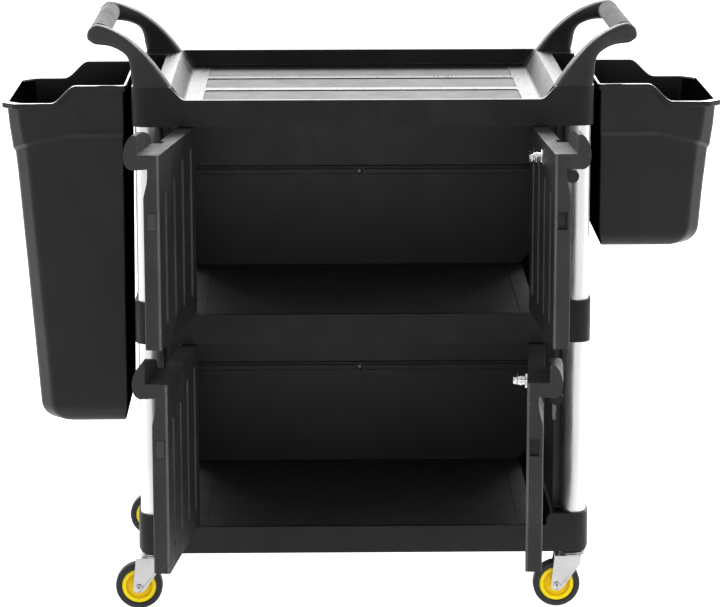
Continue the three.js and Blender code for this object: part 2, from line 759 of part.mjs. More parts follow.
// Sections of a handle arm from its foot to its end: the upper and lower edge as
// [x, z], and the middle and half width across the cart.
const ARM_SECTIONS = [
  { upper: [297, 842.3], lower: [355, 842.3], middle: 206, half: 20.5 },
  { upper: [311, 862], lower: [358, 858], middle: 201, half: 20 },
  { upper: [328, 882], lower: [360, 874], middle: 192, half: 19 },
  { upper: [346, 899.5], lower: [366, 887], middle: 182, half: 18 },
  { upper: [365.5, 914], lower: [379, 895], middle: 172, half: 17 },
  { upper: [385, 924], lower: [393, 899], middle: 163, half: 16.5 },
  { upper: [402, 930], lower: [406, 900], middle: 157, half: 16 },
  { upper: [415, 932], lower: [417, 901], middle: 154, half: 15 },
  { upper: [424, 926], lower: [425, 906], middle: 153, half: 12 },
];

function armRing({ upper, lower, middle, half }) {
  const centre = [(upper[0] + lower[0]) / 2, (upper[1] + lower[1]) / 2];
  const reach = [(upper[0] - lower[0]) / 2, (upper[1] - lower[1]) / 2];
  return Array.from({ length: ARM_RING_POINTS }, (_, i) => {
    const angle = (i / ARM_RING_POINTS) * Math.PI * 2;
    const along = Math.sign(Math.cos(angle)) * Math.abs(Math.cos(angle)) ** ARM_SQUARENESS;
    const across = Math.sign(Math.sin(angle)) * Math.abs(Math.sin(angle)) ** ARM_SQUARENESS;
    return new THREE.Vector3(
      centre[0] + reach[0] * along,
      middle + half * across,
      centre[1] + reach[1] * along,
    );
  });
}

function handle() {
  const rear = loft(ARM_SECTIONS.map((section) => armRing(section).reverse()));
  const front = loft(ARM_SECTIONS.map((section) => (
    armRing(section).map((point) => new THREE.Vector3(point.x, -point.y, point.z))
  )));
  const core = crossRod(GRIP_CORE_RADIUS, GRIP_X, GRIP_Z, -150, 150);
  const collar = GRIP_HALF_LENGTH + 1;
  const gripRoom = crossRod(GRIP_RADIUS + 2, GRIP_X, GRIP_Z, -collar, collar, 20);
  return join(cut(rear, gripRoom), cut(front, gripRoom), core);
}

function gripSleeve() {
  const points = Array.from({ length: FLUTES * 2 }, (_, i) => {
    const radius = i % 2 === 0 ? GRIP_RADIUS : GRIP_RADIUS - FLUTE_DEPTH;
    const angle = (i / (FLUTES * 2)) * Math.PI * 2;
    return new THREE.Vector2(GRIP_X + radius * Math.cos(angle), GRIP_Z + radius * Math.sin(angle));
  });
  const shape = new THREE.Shape(points);
  const bore = new THREE.Path();
  bore.absarc(GRIP_X, GRIP_Z, GRIP_CORE_RADIUS + GAP, 0, Math.PI * 2, true);
  shape.holes.push(bore);
  return alongY(shape, -GRIP_HALF_LENGTH, GRIP_HALF_LENGTH, 12);
}

[['left', LEFT], ['right', RIGHT]].forEach(([name, side]) => {
  place(`handle_${name}`, sided(handle(), side), SHELF_PLASTIC);
  place(`grip_sleeve_${name}`, sided(gripSleeve(), side), GRIP_RUBBER);
});

// ---------------------------------------------------------------- bins

function rimFall(x) {
  return BIN_RIM_FALL * THREE.MathUtils.smoothstep(x, FALL_START, FALL_END);
}

// The bin's plan as a ring of points, drawn in by an inset on each side. Its long sides
// carry extra points where the rim falls, and its outer corners are cut off.
function binPlan({ near, far, side }) {
  const x0 = BIN_NEAR_X + near;
  const x1 = BIN_FAR_X - far;
  const y1 = BIN_HALF_DEPTH - side;
  const along = (share) => x0 + (x1 - x0) * share;
  const falls = [0.41, 0.48, 0.54, 0.61];
  const shape = outline([
    [x0, -y1, 6],
    ...falls.map((share) => [along(share), -y1]),
    [along(0.88), -y1, 12],
    [x1, -y1 + 40, 16],
    [x1, y1 - 40, 16],
    [along(0.88), y1, 12],
    ...falls.toReversed().map((share) => [along(share), y1]),
    [x0, y1, 6],
  ]);
  return shape.extractPoints(2).shape;
}

// One level of the bin. follow says how much of the rim's fall the level shares.
function binRing(height, inset, follow) {
  return binPlan(inset).map(({ x, y }) => new THREE.Vector3(x, y, height - rimFall(x) * follow));
}

function bin(bottom) {
  const body = (z, thickness, round = 0) => {
    const share = (BIN_RIM_Z - z) / (BIN_RIM_Z - TALL_BIN_BOTTOM);
    return {
      near: 6.5 + 3 * share + thickness + round * 0.25,
      far: 13 + 37 * share + thickness + round,
      side: 10 + 22 * share + thickness + round * 0.5,
    };
  };
  const underLip = { near: NEAR_LIP, far: LIP_WIDTH, side: LIP_WIDTH - 2 };
  const upperFoot = { near: NEAR_LIP, far: LIP_WIDTH + 7, side: LIP_WIDTH - 2 };
  const shoulder = BIN_RIM_Z - SHOULDER_DROP;
  const rings = [
    binRing(bottom, body(bottom, 0, 28), 0),
    binRing(bottom + 8, body(bottom + 8, 0, 9), 0),
    binRing(bottom + 30, body(bottom + 30, 0), 0),
    binRing(shoulder - SHOULDER_STEP, body(shoulder, 0), 1),
    binRing(shoulder, upperFoot, 1),
    binRing(BIN_RIM_Z - LIP_HEIGHT, underLip, 1),
    binRing(BIN_RIM_Z - LIP_HEIGHT, { near: 0, far: 0, side: 0 }, 1),
    binRing(BIN_RIM_Z, { near: 0, far: 0, side: 0 }, 1),
    binRing(BIN_RIM_Z, { near: NEAR_LIP + 3, far: LIP_WIDTH + 4, side: LIP_WIDTH - 1 }, 1),
    binRing(shoulder, { near: NEAR_LIP + 3, far: LIP_WIDTH + 10.5, side: LIP_WIDTH + 1 }, 1),
    binRing(shoulder - SHOULDER_STEP - 1, body(shoulder, BIN_WALL), 1),
    binRing(bottom + 30, body(bottom + 30, BIN_WALL), 0),
    binRing(bottom + 10, body(bottom + 14, BIN_WALL, 8), 0),
    binRing(bottom + BIN_WALL, body(bottom, BIN_WALL, 28), 0),
  ];
  return join(loft(rings), binHook());
}

// The hook reaches over the lowered end wall of the tray and down into its pocket.
function binHook() {
  const top = POCKET.lip + GAP;
  const section = outline([
    [POCKET.far - GAP, top],
    [BIN_NEAR_X + NEAR_LIP + 2, top],
    [BIN_NEAR_X + NEAR_LIP + 2, top + 4],
    [POCKET.far - GAP - 4, top + 4, 3],
    [POCKET.far - GAP - 4, top - 24],
    [POCKET.far - GAP, top - 24],
  ]);
  return alongY(section, -HOOK_HALF_WIDTH, HOOK_HALF_WIDTH, 3);
}

place('tall_bin', mirrored(bin(TALL_BIN_BOTTOM)), BIN_PLASTIC);
place('short_bin', bin(SHORT_BIN_BOTTOM), BIN_PLASTIC);

// ---------------------------------------------------------------- castors

const RACEWAY_TOP = LOWEST.bottom - GAP;

function castorMount() {
  return turned([
    [0, 77.3],
    [8, 77.3],
    [8, 81.5],
    [5, 81.5],
    [5, 90],
    [22, 91],
    [18, RACEWAY_TOP],
    [STEM_RADIUS, RACEWAY_TOP],
    [STEM_RADIUS, LOWEST.bottom + STEM_LENGTH],
    [0, LOWEST.bottom + STEM_LENGTH],
  ]);
}

function castorFork() {
  const half = FORK_INNER + FORK_PLATE;
  const cheekOutline = outline([
    [-29, FORK_TOP, 2],
    [-33, 48, 4],
    [-33.5, 29.5, 7],
    [-19, 29.5, 7],
    [4, 61, 4],
    [13, 74, 3],
    [13, FORK_TOP, 2],
  ]);
  const cheeks = [
    alongY(cheekOutline, -half, -FORK_INNER, 2),
    alongY(cheekOutline, FORK_INNER, half, 2),
  ];
  const crown = block(-28.5, 12.5, -half + 0.2, half - 0.2, FORK_TOP - 3, FORK_TOP);
  const raceway = new THREE.CylinderGeometry(20, 17, 4, 16);
  raceway.rotateX(Math.PI / 2).translate(0, 0, FORK_TOP + 1.8);
  return cut(
    join(crown, raceway, ...cheeks),
    uprightRod(5.5, 0, 0, FORK_TOP - 5, FORK_TOP + 6, 10),
    crossRod(AXLE_RADIUS + GAP, -CASTOR_TRAIL, WHEEL_RADIUS, -half - 1, half + 1),
  );
}

function alongAxle(geometry) {
  return geometry.rotateX(Math.PI / 2).translate(-CASTOR_TRAIL, 0, WHEEL_RADIUS);
}

function castorAxle() {
  const cheek = FORK_INNER + FORK_PLATE + GAP;
  const end = cheek + 3;
  return alongAxle(turned([
    [0, -end],
    [5.5, -end],
    [5.5, -cheek],
    [AXLE_RADIUS, -cheek],
    [AXLE_RADIUS, cheek],
    [5.5, cheek],
    [5.5, end],
    [0, end],
  ], 12));
}

function wheelHub() {
  const bore = AXLE_RADIUS + GAP;
  return alongAxle(turned([
    [bore, -13.5],
    [9, -13.5],
    [9, -5.5],
    [20, -5.5],
    [20.5, -10],
    [HUB_RADIUS, -10],
    [HUB_RADIUS, 10],
    [20.5, 10],
    [20, 5.5],
    [9, 5.5],
    [9, 13.5],
    [bore, 13.5],
    [bore, -13.5],
  ], 16));
}

function wheelTyre() {
  const inner = HUB_RADIUS + GAP;
  const half = TYRE_HALF_WIDTH;
  return alongAxle(turned([
    [inner, -half],
    [WHEEL_RADIUS - 3, -half],
    [WHEEL_RADIUS, -half + 5],
    [WHEEL_RADIUS, half - 5],
    [WHEEL_RADIUS - 3, half],
    [inner, half],
    [inner, -half],
  ], 24));
}

CORNERS.forEach(({ name, x, y }) => {
  const castor = new THREE.Group();
  castor.position.set(x, y, 0);
  cart.add(castor);
  place(`castor_mount_${name}`, castorMount(), ZINC, castor);
  place(`castor_fork_${name}`, castorFork(), ZINC, castor);
  place(`castor_axle_${name}`, castorAxle(), DARK_STEEL, castor);
  place(`wheel_hub_${name}`, wheelHub(), YELLOW_PLASTIC, castor);
  place(`wheel_tyre_${name}`, wheelTyre(), TYRE_RUBBER, castor);
});

// ---------------------------------------------------------------- origin

// The origin is on the floor under the middle of the whole cart with its doors open.
const wholeBox = new THREE.Box3().setFromObject(cart, true);
cart.position.y = -wholeBox.getCenter(new THREE.Vector3()).y;

export default cart;
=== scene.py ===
import json
import math

import bmesh
import bpy
from mathutils import Matrix, Vector


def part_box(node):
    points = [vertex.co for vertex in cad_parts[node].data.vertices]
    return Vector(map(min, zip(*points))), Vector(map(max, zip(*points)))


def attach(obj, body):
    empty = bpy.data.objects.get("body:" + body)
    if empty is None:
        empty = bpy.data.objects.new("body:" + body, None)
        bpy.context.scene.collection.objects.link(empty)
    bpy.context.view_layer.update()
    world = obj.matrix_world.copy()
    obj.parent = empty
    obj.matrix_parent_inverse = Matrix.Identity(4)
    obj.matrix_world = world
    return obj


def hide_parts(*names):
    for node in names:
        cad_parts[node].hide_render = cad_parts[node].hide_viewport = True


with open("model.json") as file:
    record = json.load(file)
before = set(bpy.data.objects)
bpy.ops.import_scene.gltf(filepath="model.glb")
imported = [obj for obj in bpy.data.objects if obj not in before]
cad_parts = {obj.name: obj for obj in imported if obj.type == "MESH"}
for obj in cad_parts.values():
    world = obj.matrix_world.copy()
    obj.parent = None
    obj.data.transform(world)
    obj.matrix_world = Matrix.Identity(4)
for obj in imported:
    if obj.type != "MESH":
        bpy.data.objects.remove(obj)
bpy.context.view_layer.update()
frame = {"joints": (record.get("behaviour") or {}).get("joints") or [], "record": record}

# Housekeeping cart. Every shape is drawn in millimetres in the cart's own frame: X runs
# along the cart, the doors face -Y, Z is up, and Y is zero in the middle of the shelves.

LEFT, RIGHT = -1, 1
SIDES = (("left", LEFT), ("right", RIGHT))
TIERS = (("upper", "middle_shelf", "top_tray"), ("lower", "lowest_shelf", "middle_shelf"))

tray_low, tray_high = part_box("top_tray")
CART_Y = (tray_low.y + tray_high.y) / 2
TO_ROW = Matrix.Translation((0, CART_Y, 0)) @ Matrix.Diagonal((0.001, 0.001, 0.001, 1))
JOINTS = {joint["name"]: joint for joint in frame["joints"]}
BODY_OF = {
    node: body
    for body, members in frame["record"]["behaviour"]["bodies"].items()
    for node in members
}


def span(node):
    """The lowest and highest corner of a CAD node, in millimetres in the cart's frame."""
    low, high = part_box(node)
    middle = Vector((0, CART_Y, 0))
    return (low - middle) * 1000, (high - middle) * 1000


# ---- shapes

PLANES = {
    "xy": lambda a, b, h: (a, b, h),
    "xz": lambda a, b, h: (a, h, b),
    "yz": lambda a, b, h: (h, a, b),
}


def rounded(corners, segments=8):
    """An outline through corners (a, b) or (a, b, setback), each setback rounded off."""
    points = []
    for i, corner in enumerate(corners):
        here = Vector(corner[:2])
        if len(corner) < 3:
            points.append(here)
            continue
        before = Vector(corners[i - 1][:2])
        after = Vector(corners[(i + 1) % len(corners)][:2])
        start = here + (before - here).normalized() * corner[2]
        end = here + (after - here).normalized() * corner[2]
        for step in range(segments + 1):
            t = step / segments
            points.append(start * (1 - t) ** 2 + here * 2 * t * (1 - t) + end * t * t)
    return points


def rectangle(half_x, half_y, setback, segments=10):
    """A rectangle centred on the origin with rounded corners."""
    signs = ((-1, -1), (1, -1), (1, 1), (-1, 1))
    return rounded([(sx * half_x, sy * half_y, setback) for sx, sy in signs], segments)


def bezier(p0, p1, p2, p3, segments=10):
    """Points along a cubic curve, without its first one."""
    points = []
    for step in range(1, segments + 1):
        t = step / segments
        u = 1 - t
        points.append(
            Vector(p0) * u**3 + Vector(p1) * 3 * u * u * t
            + Vector(p2) * 3 * u * t * t + Vector(p3) * t**3
        )
    return points


def smoothstep(value, low, high):
    t = min(max((value - low) / (high - low), 0), 1)
    return t * t * (3 - 2 * t)


def tidy(bm):
    """Joins points that meet, drops loose edges and turns every face outwards."""
    bmesh.ops.remove_doubles(bm, verts=bm.verts, dist=0.002)
    loose = [edge for edge in bm.edges if not edge.link_faces]
    bmesh.ops.delete(bm, geom=loose, context="EDGES")
    bmesh.ops.recalc_face_normals(bm, faces=bm.faces)
    return bm


def skin(rings, closed=False):
    """A surface through rings of equally many points. An open one is capped at both ends."""
    bm = bmesh.new()
    grid = [[bm.verts.new(point) for point in ring] for ring in rings]
    pairs = list(zip(grid, grid[1:]))
    if closed:
        pairs.append((grid[-1], grid[0]))
    for lower, upper in pairs:
        for i in range(len(lower)):
            j = (i + 1) % len(lower)
            bm.faces.new((lower[i], lower[j], upper[j], upper[i]))
    if not closed:
        bm.faces.new(reversed(grid[0]))
        bm.faces.new(grid[-1])
    return tidy(bm)


def prism(points, plane, low, high):
    """An outline carried straight from low to high, square to its plane."""
    place = PLANES[plane]
    return skin([[place(a, b, height) for a, b in points] for height in (low, high)])


def box(x0, x1, y0, y1, z0, z1):
    return prism([(x0, y0), (x1, y0), (x1, y1), (x0, y1)], "xy", z0, z1)


def lathe(profile, centre=(0, 0, 0), axis="z", segments=48):
    """A closed profile of (radius, height) turned about an axis through the centre."""
    rings = []
    for radius, height in profile:
        ring = []
        for i in range(segments):
            angle = 2 * math.pi * i / segments
            a, b = radius * math.cos(angle), radius * math.sin(angle)
            local = {"x": (height, a, b), "y": (a, height, b), "z": (a, b, height)}[axis]
            ring.append(Vector(centre) + Vector(local))
        rings.append(ring)
    return skin(rings, closed=True)


def rod(radius, low, high, centre=(0, 0, 0), axis="z", segments=32):
    return lathe([(0, low), (radius, low), (radius, high), (0, high)], centre, axis, segments)


def scratch(bm):
    mesh = bpy.data.meshes.new("scratch")
    bm.to_mesh(mesh)
    bm.free()
    obj = bpy.data.objects.new("scratch", mesh)
    bpy.context.scene.collection.objects.link(obj)
    return obj


def carve(base, *steps):
    """Adds, cuts or keeps shapes in turn. Each step is (operation, shape)."""
    target = scratch(base)
    tools = []
    for operation, shape in steps:
        tools.append(scratch(shape))
        modifier = target.modifiers.new("step", "BOOLEAN")
        modifier.operation = operation
        modifier.solver = "EXACT"
        modifier.object = tools[-1]
    evaluated = target.evaluated_get(bpy.context.evaluated_depsgraph_get())
    mesh = bpy.data.meshes.new_from_object(evaluated)
    result = bmesh.new()
    result.from_mesh(mesh)
    bpy.data.meshes.remove(mesh)
    for obj in [target, *tools]:
        used = obj.data
        bpy.data.objects.remove(obj)
        bpy.data.meshes.remove(used)
    return tidy(result)


def add(*shapes):
    return [("UNION", shape) for shape in shapes]


def cut(*shapes):
    return [("DIFFERENCE", shape) for shape in shapes]


def keep(*shapes):
    return [("INTERSECT", shape) for shape in shapes]


def soften(bm, width, angle=32, segments=2):
    """Merges flat faces and rounds off every edge sharper than the angle."""
    bmesh.ops.dissolve_limit(
        bm, angle_limit=math.radians(0.5), verts=bm.verts, edges=bm.edges
    )
    limit = math.radians(angle)
    sharp = [
        edge for edge in bm.edges
        if len(edge.link_faces) == 2 and edge.calc_face_angle() > limit
    ]
    bmesh.ops.bevel(
        bm, geom=sharp, offset=width, offset_type="OFFSET", segments=segments,
        profile=0.5, affect="EDGES", clamp_overlap=True,
    )
    return bm


# ---- materials


def add_node(tree, kind, values=None, **settings):
    node = tree.nodes.new(kind)
    for name, value in settings.items():
        setattr(node, name, value)
    for socket, value in (values or {}).items():
        if isinstance(value, bpy.types.NodeSocket):
            tree.links.new(value, node.inputs[socket])
        else:
            node.inputs[socket].default_value = value
    return node


def noise(tree, coords, size, stretch=(1, 1, 1), detail=3, distortion=0):
    """Noise whose features measure about size metres, longer where stretch is above 1."""
    mapping = add_node(tree, "ShaderNodeMapping", {
        "Vector": coords,
        "Scale": [1 / (size * s) for s in stretch],
    })
    texture = add_node(tree, "ShaderNodeTexNoise", {
        "Vector": mapping.outputs["Vector"],
        "Scale": 1.0,
        "Detail": detail,
        "Distortion": distortion,
    })
    return texture.outputs["Fac"]


def ranged(tree, value, low, high, start=0.3, end=0.7):
    """Spreads the values from start to end smoothly over low to high."""
    node = add_node(tree, "ShaderNodeMapRange", {
        "Value": value, "From Min": start, "From Max": end, "To Min": low, "To Max": high,
    }, interpolation_type="SMOOTHSTEP")
    return node.outputs["Result"]


# Feature sizes in metres: uneven colour, fine specks, and smudges in the gloss.
CLOUD_SIZE = 0.11
SPECK_SIZE = 0.0022
SMUDGE_SIZE = 0.035
COAT_ROUGHNESS = 0.2


def surface(
    name, colour, roughness, *, metallic=0.0, specular=0.5, tint=0.18, spread=0.08,
    grain=(0.0008, 0.00003), peel=None, streaks=None, peak_lift=0.0, coat=0.0, anisotropic=0.0,
):
    """A worked finish: uneven tint and gloss, a fine grain, and where asked an orange peel
    and streaks. grain and peel are (size, depth) in metres, streaks is (size, stretch,
    depth, gloss change), and the peak lift lightens the high spots of the peel."""
    material = bpy.data.materials.new(name)
    material.use_nodes = True
    tree = material.node_tree
    shader = tree.nodes["Principled BSDF"]
    coords = add_node(tree, "ShaderNodeTexCoord").outputs["Object"]

    clouds = noise(tree, coords, CLOUD_SIZE, detail=4)
    specks = noise(tree, coords, SPECK_SIZE, detail=2)
    tone = ranged(tree, clouds, 1 - tint, 1 + tint)
    fine = ranged(tree, specks, 1 - tint * 0.5, 1 + tint * 0.5)
    shade = add_node(tree, "ShaderNodeMath", {0: tone, 1: fine}, operation="MULTIPLY")
    tinted = add_node(tree, "ShaderNodeVectorMath", {
        0: colour, "Scale": shade.outputs[0],
    }, operation="SCALE")
    base = tinted.outputs["Vector"]

    smudge = noise(tree, coords, SMUDGE_SIZE, stretch=(1, 1, 1.6), detail=5, distortion=0.6)
    gloss = ranged(tree, smudge, roughness - spread, roughness + spread)

    bump = add_node(tree, "ShaderNodeBump", {
        "Strength": 1.0,
        "Distance": grain[1],
        "Height": noise(tree, coords, grain[0], detail=2),
    })
    if peel:
        coarse = noise(tree, coords, peel[0], detail=3, distortion=0.4)
        bump = add_node(tree, "ShaderNodeBump", {
            "Strength": 1.0, "Distance": peel[1], "Height": coarse,
            "Normal": bump.outputs["Normal"],
        })
        # Lightens the base colour on the high spots of the peel.
        if peak_lift:
            lift = ranged(tree, coarse, 1.0, 1.0 + peak_lift, 0.5, 0.75)
            base = add_node(tree, "ShaderNodeVectorMath", {
                0: base, "Scale": lift,
            }, operation="SCALE").outputs["Vector"]
    if streaks:
        size, stretch, depth, change = streaks
        lines = noise(tree, coords, size, stretch=stretch, detail=4, distortion=0.3)
        bump = add_node(tree, "ShaderNodeBump", {
            "Strength": 1.0, "Distance": depth, "Height": lines,
            "Normal": bump.outputs["Normal"],
        })
        gloss = add_node(tree, "ShaderNodeMath", {
            0: gloss, 1: ranged(tree, lines, -change, change),
        }, operation="ADD", use_clamp=True).outputs[0]

    tree.links.new(base, shader.inputs["Base Color"])
    tree.links.new(gloss, shader.inputs["Roughness"])
    tree.links.new(bump.outputs["Normal"], shader.inputs["Normal"])
    for socket, value in {
        "Metallic": metallic, "Specular IOR Level": specular, "Coat Weight": coat,
        "Coat Roughness": COAT_ROUGHNESS, "Anisotropic": anisotropic,
    }.items():
        shader.inputs[socket].default_value = value
    return material


MATERIALS = {
    "shelf": surface(
        "shelf_moulding", (0.0085, 0.0085, 0.009), 0.48, specular=0.24,
        grain=(0.0009, 0.00004), peel=(0.0035, 0.00002),
    ),
    # Painted sheen: the tray's up-facing faces get a lighter copy of the moulding's colour. Its
    # lower roughness and coat are the smoother finish.
    "gloss": surface(
        "tray_smooth_painted_sheen", (0.036, 0.036, 0.037), 0.32, specular=0.34, spread=0.03, coat=0.06,
        grain=(0.0012, 0.000003), streaks=(0.0022, (1, 40, 1), 0.000006, 0.05), tint=0.08,
    ),
    # Painted sheen: the tray's sunk panels get a lighter copy of the moulding's colour, with a
    # rougher finish.
    "inset": surface(
        "tray_inset_painted_sheen", (0.022, 0.022, 0.023), 0.54, specular=0.22,
        grain=(0.0012, 0.00005), spread=0.03, tint=0.08,
    ),
    # Painted shade: a darker copy of the moulding for the inner face of the tray's rear wall.
    "shade": surface(
        "tray_rear_wall_painted_shade", (0.0125, 0.0125, 0.0128), 0.5, specular=0.06,
        grain=(0.0009, 0.00004),
    ),
    # Painted sheen: a lighter copy of the moulding for the tray's end slopes.
    "slope": surface(
        "tray_end_slope_painted_sheen", (0.026, 0.026, 0.0265), 0.36, specular=0.2, spread=0.05,
        grain=(0.0012, 0.000003), streaks=(0.003, (30, 1, 1), 0.00001, 0.08), tint=0.1,
    ),
    # Painted shade: a darker copy of the moulding for the end slopes of the lower shelves.
    "shelf_end": surface(
        "shelf_end_slope_painted_shade", (0.0035, 0.0035, 0.0036), 0.55, specular=0.05,
        grain=(0.0009, 0.00004),
    ),
    # Painted light: a lighter copy of the moulding for the up-facing floors of the lower
    # shelves.
    "shelf_floor_painted_light": surface(
        "shelf_floor_painted_light", (0.05, 0.05, 0.051), 0.5, specular=0.4, tint=0.05,
        grain=(0.001, 0.00004), spread=0.04,
    ),
    "door": surface(
        "door_foam", (0.021, 0.021, 0.0215), 0.6, specular=0.4, tint=0.2,
        grain=(0.0011, 0.00012), peel=(0.0034, 0.0004), peak_lift=0.55,
    ),
    # Painted shade: a darker copy of the door foam for the door's inner face.
    "door_inside_shade": surface(
        "door_foam_inside_painted_shade", (0.013, 0.013, 0.0135), 0.62, specular=0.3, tint=0.25,
        grain=(0.0011, 0.00012), peel=(0.0034, 0.0004), peak_lift=0.8,
    ),
    # Painted highlight: a lighter copy of the door foam for groove walls that face the free edge
    # or up.
    "door_lit": surface(
        "door_foam_groove_painted_highlight", (0.085, 0.085, 0.086), 0.6, specular=0.4, tint=0.2,
        grain=(0.0011, 0.00012), peel=(0.0034, 0.0003), peak_lift=0.5,
    ),
    "catch": surface(
        "catch_cap", (0.03, 0.03, 0.031), 0.34,
    ),
    "panel": surface(
        "panel_sheet", (0.036, 0.036, 0.0365), 0.42, specular=0.35, tint=0.05, spread=0.03,
        grain=(0.0007, 0.00002),
    ),
    "bin": surface(
        "bin_moulding", (0.007, 0.007, 0.0075), 0.36, specular=0.3, spread=0.06,
    ),
    # Painted shade: near black with no reflection, for the bin's faces towards the cart and its
    # strip nearest the cart.
    "bin_shade": surface(
        "bin_cart_side_painted_shade", (0.003, 0.003, 0.003), 0.7, specular=0.0,
    ),
    # Painted sheen: a lighter copy of the bin moulding on the rim's up-facing faces. Its coat is
    # the glossier finish.
    "bin_lip_sheen": surface(
        "bin_rim", (0.03, 0.03, 0.031), 0.2, specular=0.8, grain=(0.0008, 0.00001), coat=0.8,
    ),
    "arm": surface(
        "handle_moulding", (0.028, 0.028, 0.0285), 0.5, specular=0.22,
        grain=(0.0009, 0.00004), peel=(0.003, 0.00003),
    ),
    # Painted sheen: a mid-grey base, lighter than the dark rubber of the sleeve.
    "grip": surface(
        "grip_sleeve", (0.16, 0.16, 0.159), 0.65, specular=0.12,
        grain=(0.0009, 0.0001), tint=0.12,
    ),
    "aluminium": surface(
        "post_anodised", (0.8, 0.8, 0.805), 0.34, metallic=1.0, tint=0.03, spread=0.04,
        grain=(0.0006, 0.000006), streaks=(0.0012, (1, 1, 60), 0.000012, 0.05),
        anisotropic=0.3,
    ),
    "zinc": surface(
        "zinc_plate", (0.46, 0.46, 0.465), 0.32, metallic=1.0, tint=0.08, spread=0.08,
        grain=(0.0012, 0.00003),
    ),
    "chrome": surface(
        "chrome_plate", (0.82, 0.82, 0.83), 0.1, metallic=1.0, tint=0.03, spread=0.03,
        grain=(0.002, 0.00001),
    ),
    "steel": surface(
        "dark_steel", (0.16, 0.16, 0.17), 0.38, metallic=0.9, tint=0.1,
    ),
    "key": surface(
        "key_plastic", (0.006, 0.006, 0.006), 0.4, specular=0.35,
    ),
    "hub": surface(
        "hub_plastic", (0.8, 0.64, 0.002), 0.42, specular=0.2, tint=0.06,
        grain=(0.001, 0.00003),
    ),
    "hub_dish": surface(
        "hub_plastic_dish", (0.76, 0.5, 0.001), 0.45, specular=0.2, tint=0.08,
        grain=(0.001, 0.00003),
    ),
    "tyre": surface(
        "tyre_rubber", (0.014, 0.014, 0.018), 0.62, specular=0.35, tint=0.2,
        grain=(0.0009, 0.00008),
    ),
}


# A crease sharper than this stays crisp when a piece is shaded smooth.
CREASE = math.radians(38)


def piece(node, bm, materials, matrix=TO_ROW, paint=None):
    """Puts a finished shape in the scene in place of its CAD node. paint picks a material
    for each face from its middle and normal, in the millimetres it was drawn in."""
    for face in bm.faces:
        face.smooth = True
        face.material_index = paint(face.calc_center_median(), face.normal) if paint else 0
    bm.transform(matrix)
    if matrix.determinant() < 0:
        bmesh.ops.reverse_faces(bm, faces=bm.faces)
    mesh = bpy.data.meshes.new(f"{node}_visual")
    bm.to_mesh(mesh)
    bm.free()
    mesh.set_sharp_from_angle(angle=CREASE)
    obj = bpy.data.objects.new(f"{node}_visual", mesh)
    for name in materials:
        mesh.materials.append(MATERIALS[name])
    bpy.context.scene.collection.objects.link(obj)
    normals = obj.modifiers.new("even_normals", "WEIGHTED_NORMAL")
    normals.keep_sharp = True
    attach(obj, BODY_OF[node])
    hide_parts(node)
    return obj


# ---- shelves

HALF_X = tray_high.x * 1000
HALF_Y = (tray_high.y - CART_Y) * 1000
CORNER = 25
WALL = 5
FRONT_INNER = -HALF_Y + 8
REAR_INNER = HALF_Y - 21
REAR_LEAN = 11
RIM_DROP = 19.5
FLOOR_DROP = 27
BASIN_TOP = 297
BASIN_FLOOR = 277
BASIN_CORNER = 12
NOTCH_RIM = 279
SUNK = 1.5
SUNK_HALF = 249
LEDGE_DEPTH, LEDGE_HEIGHT = 5, 4
TOWER = 25
POST_GAP = 0.4

# The pockets for the bins' hooks, and how far they and their lip are below the tray's top.
POCKET_NEAR, POCKET_FAR, POCKET_HALF = 320, 352, 155
POCKET_DEPTH, POCKET_LIP = 48, 16

PIVOT = Vector((273, -212.5))
DOOR_HALF = 12.5
DOOR_BEYOND = math.radians(14)
ROD_SOCKET = 3.3

post_boxes = {
    corner: span(f"post_{corner}")
    for corner in ("front_left", "front_right", "rear_left", "rear_right")
}
CORNERS = {
    corner: ((low.x + high.x) / 2, (low.y + high.y) / 2)
    for corner, (low, high) in post_boxes.items()
}
POST_X = CORNERS["front_right"][0]
POST_RADIUS = (post_boxes["front_left"][1].x - post_boxes["front_left"][0].x) / 2


def basin(top):
    """The hollow of a shelf: sloping ends, a rear wall that leans back, rounded inner
    corners and a filleted floor."""
    middle = (FRONT_INNER + REAR_INNER) / 2
    half_y = (REAR_INNER - FRONT_INNER) / 2
    slope = (BASIN_TOP - BASIN_FLOOR) / FLOOR_DROP
    rings = []
    for height, inset in ((0, 3), (0.5, 1.4), (1.4, 0.4), (3, 0), (FLOOR_DROP + 4, 0)):
        half_x = BASIN_FLOOR + height * slope
        lean = REAR_LEAN * max(0, height - 3) / FLOOR_DROP
        corner = BASIN_CORNER - inset
        outline = rectangle(half_x - inset, half_y - inset + lean / 2, corner, 8)
        rings.append([
            (x, y + middle + lean / 2, top - FLOOR_DROP + height) for x, y in outline
        ])
    return skin(rings)


def notch(top):
    """The lowered middle of a shelf's front rim."""
    rise = (BASIN_TOP - NOTCH_RIM) / RIM_DROP
    reach = BASIN_TOP + 4 * rise
    outline = rounded([
        (-NOTCH_RIM, top - RIM_DROP, 7),
        (NOTCH_RIM, top - RIM_DROP, 7),
        (reach, top + 4),
        (-reach, top + 4),
    ])
    return prism(outline, "xz", -HALF_Y - 5, FRONT_INNER + 3)


def hollow(bottom, top):
    """The room under a shelf, without the corner towers."""
    floor = top - FLOOR_DROP - WALL
    end = HALF_X - WALL
    section = [
        (-end, bottom - 1), (end, bottom - 1), (end, top - WALL),
        (BASIN_TOP + WALL, top - WALL), (BASIN_FLOOR + WALL, floor),
        (-BASIN_FLOOR - WALL, floor), (-BASIN_TOP - WALL, top - WALL), (-end, top - WALL),
    ]
    plan = rectangle(end, HALF_Y - WALL, 20)
    towers = [rod(TOWER, bottom - 3, top + 1, (x, y, 0)) for x, y in CORNERS.values()]
    return carve(
        prism(section, "xz", -HALF_Y, HALF_Y),
        *keep(prism(plan, "xy", bottom - 2, top)),
        *cut(*towers),
    )


